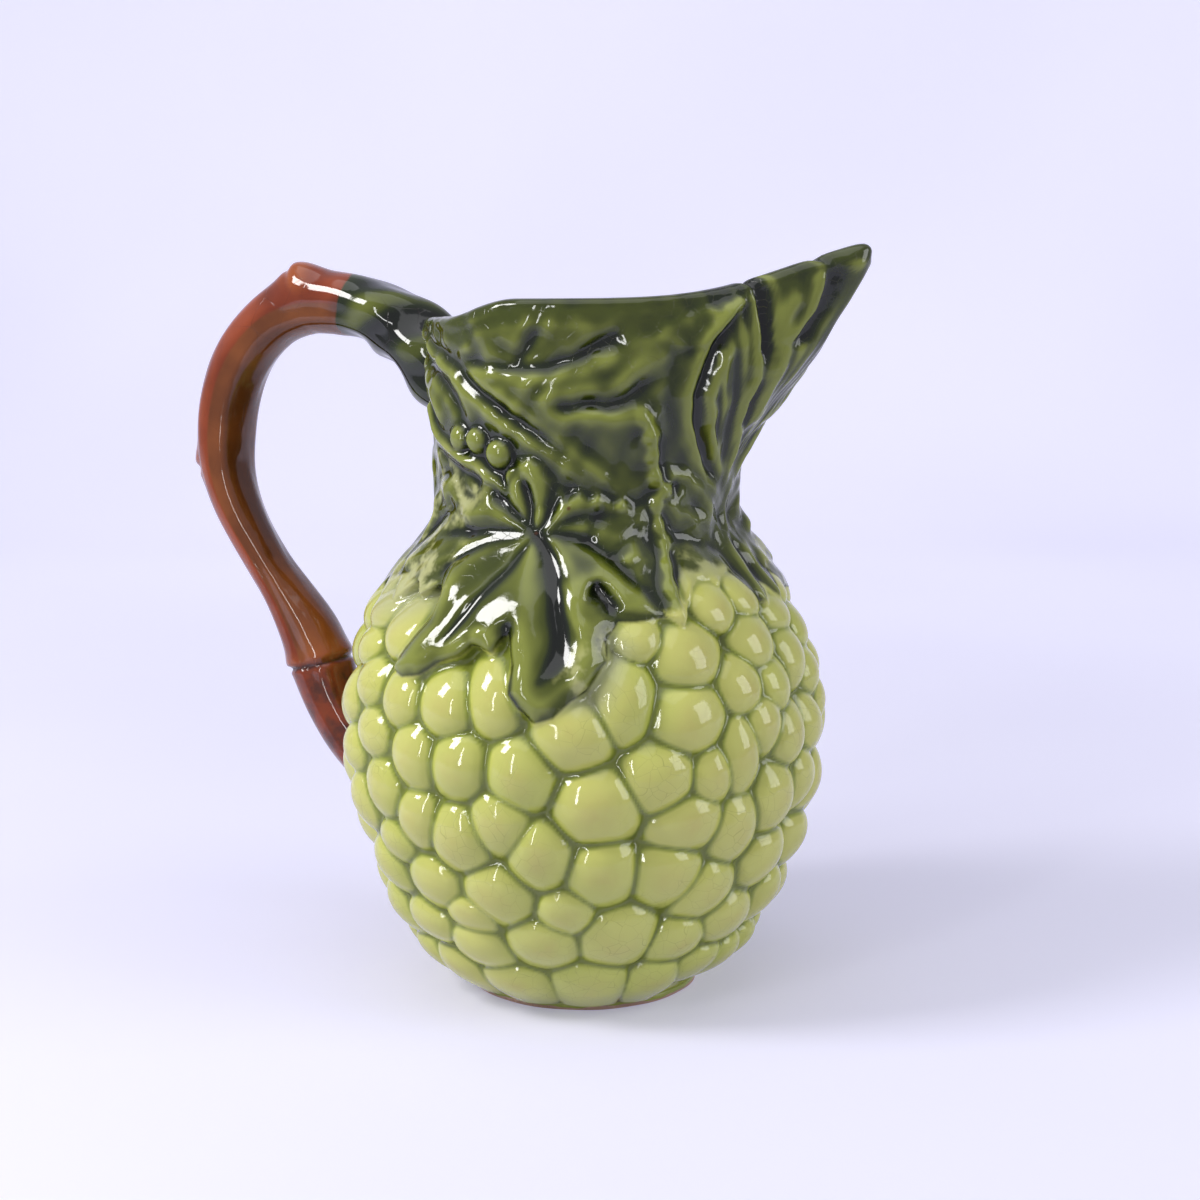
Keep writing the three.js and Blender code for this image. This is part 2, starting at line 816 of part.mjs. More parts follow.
function leafOutlinePoints() {
  const points = [];
  LEAF_OUTLINE.forEach((from, k) => {
    const to = LEAF_OUTLINE[(k + 1) % LEAF_OUTLINE.length];
    const steps = Math.ceil(Math.hypot(to[0] - from[0], to[1] - from[1]) / LEAF_STEP);
    for (let n = 0; n < steps; n++)
      points.push([
        from[0] + ((to[0] - from[0]) * n) / steps,
        from[1] + ((to[1] - from[1]) * n) / steps,
      ]);
  });
  return points;
}

function makeLeaf() {
  const mesh = new RingMesh();
  const outline = leafOutlinePoints().reverse();
  const place = ([angle, height], share) => [
    LEAF_CENTRE[0] + (angle - LEAF_CENTRE[0]) * share,
    LEAF_CENTRE[1] + (height - LEAF_CENTRE[1]) * share,
  ];
  const top = LEAF_RINGS.map((share) =>
    mesh.ring(
      outline.map((point) => {
        const [angle, height] = place(point, share);
        return onAxis(angle, height, leafTop(angle, height));
      }),
    ),
  );
  const root = [1, 0.5].map((share) =>
    mesh.ring(
      outline.map((point) => {
        const [angle, height] = place(point, share);
        return onAxis(angle, height, bodyRadius(angle, height) - LEAF_ROOT);
      }),
    ),
  );
  const [angle, height] = LEAF_CENTRE;
  joinBands(mesh, [...top, ...root]);
  mesh.fan(top[0], onAxis(angle, height, leafTop(angle, height)), false);
  mesh.fan(root[1], onAxis(angle, height, bodyRadius(angle, height) - LEAF_ROOT), true);
  return mesh.geometry();
}

// The main body of a cut piece, without the slivers that the cut leaves
function largestPiece(solid) {
  const pieces = solid.decompose();
  return pieces.reduce((best, piece) => (piece.volume() > best.volume() ? piece : best));
}

// A tube along points on the neck, or along the handle's centre line
function tubeSolid(centres, sectionAt, sides) {
  const mesh = new RingMesh();
  const rings = centres.map((_, n) => mesh.ring(sectionAt(n, sides)));
  joinBands(mesh, rings);
  mesh.fan(rings[0], centres[0], false);
  mesh.fan(rings[rings.length - 1], centres[centres.length - 1], true);
  return solidOf(mesh.geometry());
}

// side is 1 for the near sprig and -1 for the far one
function makeSprig(side) {
  const curve = new THREE.CatmullRomCurve3(
    STALK_PATH.map(([angle, height]) =>
      onAxis(angle * side, height, neckOuter(angle, height) + STALK_SEAT),
    ),
  );
  const centres = curve.getSpacedPoints(STALK_RINGS);
  let sprig = tubeSolid(
    centres,
    (n, sides) => {
      const ahead = curve.getTangentAt(n / STALK_RINGS);
      const out = new THREE.Vector3(centres[n].x, centres[n].y, 0).normalize();
      const across = new THREE.Vector3().crossVectors(ahead, out).normalize();
      const up = new THREE.Vector3().crossVectors(across, ahead);
      return Array.from({ length: sides }, (_, k) => {
        const turn = (2 * Math.PI * k) / sides;
        return centres[n]
          .clone()
          .addScaledVector(up, STALK_RADIUS * Math.cos(turn))
          .addScaledVector(across, STALK_RADIUS * Math.sin(turn));
      });
    },
    STALK_SIDES,
  );
  for (const bud of BUDS) {
    const ball = new THREE.SphereGeometry(bud.radius, 10, 7);
    ball.scale(1, 1, BUD_STRETCH);
    ball.rotateX(BUD_LEAN * DEG);
    ball.rotateZ((bud.angle * side + BUD_TURN) * DEG);
    const seat = neckOuter(bud.angle, bud.height) + BUD_SEAT;
    const centre = onAxis(bud.angle * side, bud.height, seat);
    ball.translate(centre.x, centre.y, centre.z);
    sprig = sprig.add(solidOf(ball));
  }
  return sprig;
}

// Places of the handle's rings along it, even but closer at the knots
function handleShares() {
  const atKnots = HANDLE_KNOTS.flatMap(({ at }) => KNOT_RINGS.map((step) => at + step));
  const nearKnot = (share) => HANDLE_KNOTS.some(({ at }) => Math.abs(share - at) < 0.03);
  const even = Array.from({ length: HANDLE_RINGS + 1 }, (_, n) => n / HANDLE_RINGS);
  return [...even.filter((share) => !nearKnot(share)), ...atKnots].sort((a, b) => a - b);
}

function makeHandle() {
  const curve = new THREE.CatmullRomCurve3(HANDLE_PATH.map(([x, z]) => new THREE.Vector3(x, 0, z)));
  const length = curve.getLength();
  const shares = handleShares();
  const centres = shares.map((share) => curve.getPointAt(share));
  return tubeSolid(
    centres,
    (n, sides) => {
      const share = shares[n];
      const ahead = curve.getTangentAt(share);
      const outward = new THREE.Vector3(ahead.z, 0, -ahead.x);
      const depth = smoothValue(HANDLE_DEPTH, share);
      const halfWidth = smoothValue(HANDLE_HALF_WIDTH, share);
      const knot = HANDLE_KNOTS.reduce(
        (sum, { at, rise, reach }) => sum + rise * Math.exp(-((((share - at) * length) / reach) ** 2)),
        0,
      );
      return Array.from({ length: sides }, (_, k) => {
        const turn = (2 * Math.PI * k) / sides;
        const swell = knot * (0.35 + 0.65 * Math.max(Math.cos(turn), 0));
        return centres[n]
          .clone()
          .addScaledVector(outward, (depth + swell) * Math.cos(turn))
          .add(new THREE.Vector3(0, (halfWidth + swell * 0.5) * Math.sin(turn), 0));
      });
    },
    HANDLE_SIDES,
  );
}

function mirrored(geometry) {
  const other = geometry.clone().scale(1, -1, 1);
  const index = other.index.array;
  for (let n = 0; n < index.length; n += 3) [index[n + 1], index[n + 2]] = [index[n + 2], index[n + 1]];
  return other;
}

const PALE_GLAZE = { color: 0xb9bb62, roughness: 0.15, metalness: 0 };
const DARK_GLAZE = { color: 0x3d4a14, roughness: 0.15, metalness: 0 };
const BROWN_GLAZE = { color: 0x7a3519, roughness: 0.18, metalness: 0 };
const BARE_CLAY = { color: 0xb08a7c, roughness: 0.8, metalness: 0 };

const jug = new THREE.Group();

function addPiece(name, geometry, look) {
  geometry.computeVertexNormals();
  const mesh = new THREE.Mesh(geometry, new THREE.MeshStandardMaterial(look));
  mesh.name = name;
  jug.add(mesh);
}

// Cuts an applied piece to the body that it lies on, then joins the cut's shortest edges
function seated(solid, fill) {
  const cut = largestPiece(solid.subtract(fill));
  return geometryOf(cut.simplify(SHORTEST_EDGE));
}

const fill = makeNeckFill().add(makeBunchFill());
const leaf = makeLeaf();
addPiece("foot", makeFoot(), BARE_CLAY);
addPiece("belly", makeBelly(), PALE_GLAZE);
addPiece("neck", makeNeck(), DARK_GLAZE);
addPiece("handle", seated(makeHandle(), fill), BROWN_GLAZE);
addPiece("near_vine_leaf", seated(solidOf(leaf), fill), DARK_GLAZE);
addPiece("far_vine_leaf", seated(solidOf(mirrored(leaf)), fill), DARK_GLAZE);
addPiece("near_bud_sprig", seated(makeSprig(1), fill), DARK_GLAZE);
addPiece("far_bud_sprig", seated(makeSprig(-1), fill), DARK_GLAZE);

export default jug;
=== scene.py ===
"""A glazed earthenware jug: a bunch of pale green grapes, a neck wrapped in dark green vine leaves
with a long pouring spout, and a knotted brown vine branch as the handle.

Shapes are worked out in millimetres and degrees round the jug's axis, with the spout at 0 and the
side that faces the camera below 0. They become metres when a mesh is made."""
import math

import bpy
import numpy as np
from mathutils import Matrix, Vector


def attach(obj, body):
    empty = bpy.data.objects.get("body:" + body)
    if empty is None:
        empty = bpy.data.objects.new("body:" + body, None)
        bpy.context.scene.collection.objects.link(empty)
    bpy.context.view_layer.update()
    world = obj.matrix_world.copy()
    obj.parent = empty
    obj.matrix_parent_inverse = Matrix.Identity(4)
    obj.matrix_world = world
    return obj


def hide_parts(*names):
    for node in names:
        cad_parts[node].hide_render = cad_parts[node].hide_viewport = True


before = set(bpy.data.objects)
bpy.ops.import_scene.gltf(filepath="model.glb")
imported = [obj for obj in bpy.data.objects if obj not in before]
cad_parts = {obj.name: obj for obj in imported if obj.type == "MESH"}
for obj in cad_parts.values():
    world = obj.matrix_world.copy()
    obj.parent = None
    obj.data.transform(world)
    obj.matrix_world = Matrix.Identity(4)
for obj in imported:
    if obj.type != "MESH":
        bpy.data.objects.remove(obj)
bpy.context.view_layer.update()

MM = 0.001
DEG = math.pi / 180
TINY = 1e-9

# Body
SEAM = 128
BELLY_BASE = 2.8
FLOOR_HEIGHT = 7.8
# Height where the inside turns into the floor, and its rounding there: (share of the radius, drop)
FLOOR_TURN = FLOOR_HEIGHT + 4
FLOOR_ROUNDING = [(0.96, 2.4), (0.88, 3.7), (0.7, 4), (0.4, 4)]
WALL = 4.5
STEEPEST_WALL = 2.1
LIP_HEIGHT = 2.2
RIM_HEIGHT = 213.5
RIM_BACK = 212
RIM_FRONT = 215
# The rim's dip towards the handle, between these angles
RIM_DIP = 5.5
RIM_DIP_ANGLES = (88, 124)
# The rise to the spout's tip: its height, and its rounding and spread in degrees
TIP_RISE = 15.5
TIP_ROUNDING = 3
TIP_SPREAD = 17
TIP_SHARPNESS = 1.4

# Radius of the body under its relief: [height, radius]
BODY_RADIUS = [
    [2.5, 36.6], [5, 38.6], [10, 43], [20, 50.8], [30, 56.3], [45, 62.5], [60, 67], [75, 69], [88, 69.2],
    [100, 67.5], [110, 64.5], [120, 60], [128, 55.2], [135, 50], [142, 46], [150, 44.2], [156, 43.8],
    [165, 44.2], [180, 45.2], [195, 46.2], [213, 47], [235, 47],
]
# How far the spout's prow stands out from the round neck: [height, distance]
SPOUT_REACH = [
    [140, 0], [150, 1], [158, 3.5], [165, 4.6], [169, 6.5], [175, 10], [182, 15.2], [193, 24.2],
    [200, 29.6], [209, 35], [218, 40.2], [224, 43], [229, 43.6], [235, 43.6],
]
# How sharply the spout narrows to its prow, in degrees: [height, angle]
SPOUT_SPREAD = [[140, 34], [175, 26], [200, 19], [213, 17], [235, 17]]
# How far the prow's line is rounded off, in degrees: [height, angle]
PROW_ROUNDING = [[140, 16], [175, 9], [200, 4], [213, 3], [235, 3]]
# How far the leaves stand out from the body: [height, distance]
LEAF_LEVEL = [[100, 7.4], [116, 7.4], [128, 6.8], [135, 5.8], [140, 4.6], [145, 3], [150, 2.2], [235, 2.2]]
NECK_DROP = 1.2
# How far a relief dives under the grapes outside its outline
HIDDEN_DEPTH = 9

# Grapes on one side of the bunch: [angle, height, half width, half height]
SIDE_GRAPES = [
    [-26.5, 125.5, 8, 6.5], [-13, 127, 6.5, 6], [-50, 119, 7, 6.5], [-118, 117, 10, 8], [-135, 121, 11, 7],
    [-15, 115, 8.5, 8.6], [-38, 114, 11, 11], [-134, 111, 9, 7], [-24, 103, 8.5, 8.3], [-85, 102, 9, 11],
    [-55, 102, 8.6, 12], [-12, 102, 8, 8.5], [-127, 101, 9.5, 8], [-112, 99, 9, 9], [-98, 99, 9.6, 9.5],
    [-39, 96, 12, 11], [-67, 93, 11.6, 10.5], [-139, 94, 9, 9], [-18, 92, 8.6, 9.2], [-123, 87, 9.6, 8.2],
    [-7, 86, 8.5, 9.5], [-26, 84, 8, 13], [-107, 83, 9.2, 10.3], [-94, 82, 9.4, 10.2], [-79, 81, 9.8, 11],
    [-136, 79, 10, 8.7], [-47, 80, 11.3, 10.7], [-34, 79, 7, 8.5], [-61, 72, 12.6, 11.3],
    [-119, 71, 10.5, 10.4], [-12, 68, 10.5, 11], [-39, 66, 11.5, 9.3], [-84, 66, 9.4, 10],
    [-107, 64, 8.6, 9.4], [-26, 62, 9, 11], [-133, 64, 10, 10], [-95, 60, 10.7, 11.3], [-75, 57, 9.4, 11],
    [-117, 55, 8.2, 7], [-60, 51, 10, 10.4], [-43, 50, 10.6, 9.9], [-11, 49, 10, 9.2], [-126, 45, 10, 9],
    [-106, 44, 11, 9.1], [-31, 43, 10, 9.4], [-87, 43, 11.4, 10.6], [-69, 39, 8, 7.6], [-96, 36, 9, 6.6],
    [-19, 31, 11, 8.6], [-55, 30, 11.5, 10.8], [-115, 29, 10.5, 7], [-76, 28, 11, 9.2], [-36, 27, 9, 7.5],
    [-97, 24, 10.4, 8.4], [-23, 16, 8.5, 6.5], [-9, 15, 8.5, 6], [-62, 12, 11.6, 9.6], [-39, 12, 9, 8],
    [-89, 11, 12, 8], [-114, 12, 10, 8], [-135, 28, 10.5, 9], [-133, 13, 10, 7.5],
]
# Grapes on the front line and round the back, under the handle
SHARED_GRAPES = [
    [2, 121, 9, 6.5], [1, 109, 8.5, 9.5], [2, 71, 9, 9], [0, 34, 9, 8], [180, 118, 11, 9],
    [161, 107, 11, 10], [-161, 107, 11, 10], [180, 96, 11, 10], [158, 88, 11, 10], [-158, 88, 11, 10],
    [180, 76, 11, 11], [155, 69, 11, 10], [-155, 69, 11, 10], [180, 55, 11, 11], [157, 50, 11, 10],
    [-157, 50, 11, 10], [180, 36, 11, 9], [154, 32, 11, 10], [-154, 32, 11, 10], [172, 19, 11, 9],
    [-165, 18, 11, 9], [148, 15, 11, 9], [-148, 14, 11, 9], [151, 120, 11, 8], [-151, 120, 11, 8],
]
GRAPES = SIDE_GRAPES + [[-a, h, w, t] for a, h, w, t in SIDE_GRAPES] + SHARED_GRAPES
GRAPE_TOP = 7.2
GRAPE_FLOOR = -0.6
# Shares of a grape's half size: how far its crown rises over its edge, and its crease's depth and width
GRAPE_SAG = 0.37
CREASE_DEPTH = 0.07
CREASE_WIDTH = 0.34
CREASE_SHARPNESS = 2.2
FULL_GRAPE = 12
SMALL_GRAPE_DROP = 0.08
# Heights between which the grapes end under the leaves
GRAPE_FADE = (140, 132)
# How much each grape's outline leans, and the steps that vary lean and tint from grape to grape
GRAPE_LEAN = 0.1
LEAN_STEP = 2.4
TINT_STEP = 12.9898

# Outline of the big leaf on one side: [angle, height]
LEAF_OUTLINE = [
    [-42, 124], [-44, 129], [-43, 135], [-40, 139], [-43, 145], [-39, 150], [-42, 154], [-46, 153.5],
    [-50, 157.5], [-54, 155.7], [-59, 158.5], [-62, 157], [-65.5, 159], [-70, 157], [-73, 158.5],
    [-76.5, 155], [-75, 162], [-78, 167], [-83, 169], [-88, 167], [-91, 163], [-94, 158], [-98, 160.5],
    [-104, 159.5], [-108, 155.5], [-115, 155], [-120, 151.5], [-127, 149], [-136, 143], [-141, 136],
    [-136, 131], [-127, 133], [-119, 132], [-112, 134.5], [-108.6, 129], [-108.5, 122], [-111.5, 115.5],
    [-116, 107.5], [-111, 105.5], [-106, 106.5], [-101, 110.5], [-96, 112.5], [-92.5, 116], [-87, 114.5],
    [-83.5, 119.5], [-81.4, 112], [-81.2, 104.5], [-79, 100.5], [-75.5, 96.5], [-71, 98], [-67.3, 102.5],
    [-63.5, 105.5], [-61, 109.5], [-58.5, 113.5], [-58.5, 119], [-55.5, 123.5], [-50, 123.5],
]
LEAF_EDGE = 5
LEAF_RISE = 0.8
LEAF_DEPTH = 2.6
JOINT_GAP = 0.15
LEAF_TIP = (-77.5, 102.5)
# How far from its outline the leaf's depth is worked out, and where it meets the surface round it
LEAF_MARGIN = 6
LEAF_JOIN = (-1.8, 1.2)
LEAF_EDGE_LEVEL = 0.84
LEAF_CLEARANCE = 0.3
LEAF_WAVINESS = 0.25
# How much of the grapes is felt through the leaf, about which level and between which heights
GRAPES_FELT = 0.25
GRAPES_LEVEL = 5
FELT_HEIGHTS = (134, 122)
# Softness of the leaf's veins and lobes, across and along, and where they fade at its edge
VEIN_SOFTNESS = (0.9, 1)
ROOF_SOFTNESS = (1.2, 1.2)
FOLD_EDGE = (-1, 2.5)

# Grooves of the big leaf's veins, from its middle outwards: (depth, half width, path of [angle, height])
LEAF_VEINS = [
    (2.1, 3.4, [[-79.8, 146.2], [-76.9, 143.1], [-74.8, 139.9], [-73, 134.6], [-71.7, 129.4],
        [-70.8, 124.2], [-70, 119], [-70.1, 115.2], [-71.6, 112], [-74.1, 108.2]]),
    (1.7, 1.5, [[-81.2, 147.4], [-82.8, 150.4], [-82.8, 153.8], [-83.6, 157.5], [-85.1, 160.7],
        [-86.3, 163]]),
    (1.7, 1.4, [[-79.6, 147.3], [-76.6, 151.2], [-75, 154], [-73.3, 157.1], [-71.2, 159.7]]),
    (1.3, 1.5, [[-79.3, 146.7], [-73, 146.7], [-67.1, 145.9], [-62, 143.9], [-57.3, 141], [-53.5, 138.3],
        [-50.6, 134.9], [-45.4, 130.1], [-42, 127.5]]),
    (1.2, 1.4, [[-81, 146], [-84.5, 140.9], [-86.6, 137], [-90, 133.2], [-94, 128.3], [-96.8, 122.9],
        [-99.8, 117.3], [-103.4, 113]]),
    (0.8, 1.3, [[-82, 146.3], [-87.5, 145.5], [-93.9, 144.7], [-101.2, 142.3], [-107.6, 138.6],
        [-113.5, 134.2]]),
    (1.1, 1.3, [[-82, 147], [-88.8, 147.4], [-98.9, 146.4], [-112.9, 145.5], [-123.8, 144.7]]),
    (1.6, 1.6, [[-81.6, 147.6], [-88.2, 151.7], [-92.3, 154.4], [-97.6, 157.3], [-101, 159]]),
    (0.8, 1.7, [[-73.5, 149], [-67, 151.2], [-62, 151.7], [-55.1, 152.1], [-46, 152.4]]),
]
LEAF_MIDDLE = (-80.5, 146.8)
# How narrow a vein starts, and the shares of its length where it is full and where it ends
VEIN_START = 0.55
VEIN_WIDENS = 0.35
VEIN_ENDS = 0.22
VEIN_MARGIN = 16
# Painted shade along the veins, in the lower middle groove and under the tip
VEIN_SHADE, GROOVE_SHADE, TIP_SHADE = 0.2, 0.35, 0.4
SHADE_REACH = 2.2
TIP_SHADE_REACH = 4.5
SHADE_MARGIN = 2.5
GROOVE_MARGIN = 12
# The small brown dot in the leaf's middle
MIDDLE_BROWN = 0.5
MIDDLE_REACH = 1.2
# Lobes between the veins, with straight flanks like a roof: (rise, reach, path of [angle, height])
LEAF_ROOFS = [
    (1.6, 9.5, [[-80.8, 145], [-80.8, 141], [-80.4, 136], [-79.2, 130], [-79.6, 124], [-80.9, 118],
        [-81, 112], [-79.5, 106]]),
    (1.5, 4.5, [[-79.4, 149.5], [-79, 152.9], [-78.9, 156.9], [-79.7, 160.7], [-81.7, 163.9], [-84, 166]]),
    (1.3, 5, [[-74.5, 150.6], [-70.7, 154.2], [-66.1, 156.6], [-58, 156.4], [-50, 154]]),
    (1, 4, [[-72, 148.4], [-64, 148.6], [-56, 147], [-48, 143.4]]),
    (1.5, 5, [[-76, 144.8], [-72, 142], [-68.2, 138], [-66.6, 133], [-66.2, 128], [-64.6, 122],
        [-64, 115], [-64, 109]]),
    (1, 5, [[-68, 143], [-62, 140.6], [-57, 137.4], [-52, 132.4], [-49, 128]]),
    (0.7, 4, [[-88, 144.2], [-96, 142.4], [-102, 138], [-106, 131], [-109, 123], [-111, 115]]),
    (1.2, 4.5, [[-86, 149.2], [-92, 151], [-100, 152], [-110, 151.4]]),
    (1.2, 4, [[-84.6, 151.5], [-87.5, 156.5], [-90, 161]]),
    (0.6, 3, [[-90, 146.4], [-100, 144.6], [-110, 141.8], [-119, 138]]),
]
PILLOW_RISE = 0.3
PILLOW_REACH = 8
# Folds, the small curled hole and the rolled edges of the big leaf
LEAF_FOLDS = [
    (1.2, 2.2, [[-65.7, 129.4], [-65.2, 132.9], [-63, 135.6], [-59.6, 135.8], [-56.2, 132.8],
        [-54.2, 128.3]]),
    (-3.4, 2.6, [[-62.3, 132.6], [-59.6, 131.3], [-57.7, 129.1], [-56.5, 126.1]]),
    (0.9, 1.6, [[-70.2, 134.8], [-69, 129.6], [-67.6, 125.8], [-65.6, 123.2], [-62.7, 122.6]]),
    (1.6, 2.4, [[-50.2, 141], [-49.6, 139.3]]),
    (-1.6, 2.4, [[-84.6, 122.4], [-82.6, 121.4]]),
    (1, 1.6, [[-89.5, 122], [-92.6, 117], [-94.6, 113.4]]),
    (-0.8, 1.6, [[-63, 144], [-60, 150], [-57, 156]]),
    (-0.7, 1.4, [[-55.5, 140], [-49, 145], [-44, 149]]),
    (-0.8, 1.5, [[-105, 145], [-112, 149], [-117, 152]]),
    (-0.8, 1.5, [[-110, 142], [-118, 138], [-128, 135]]),
    (0.8, 1.8, [[-69, 156.5], [-68, 156.3]]),
    (0.8, 1.8, [[-62, 157], [-58, 156.6]]),
    (0.8, 1.8, [[-52, 155.5], [-50, 154.5]]),
]

# Middle line of the beaded ribbon beside the big leaf
RIBBON_EDGE = [
    [-45, 181], [-42.5, 176.4], [-40.2, 168.5], [-38.2, 161.8], [-34.4, 159], [-37.9, 155.9],
    [-37.5, 149.7], [-34.8, 144.4], [-37.6, 137.4], [-39, 131.5], [-38.7, 125.5], [-36.8, 121.9],
]
RIBBON_SCALLOPS = 11
RIBBON_MARGIN = 10
RIBBON_RISE = 1.2
# The ribbon between its scallops and on them: strength and reach
RIBBON_FAINT = 0.45
RIBBON_REACH = (1.3, 2.1)

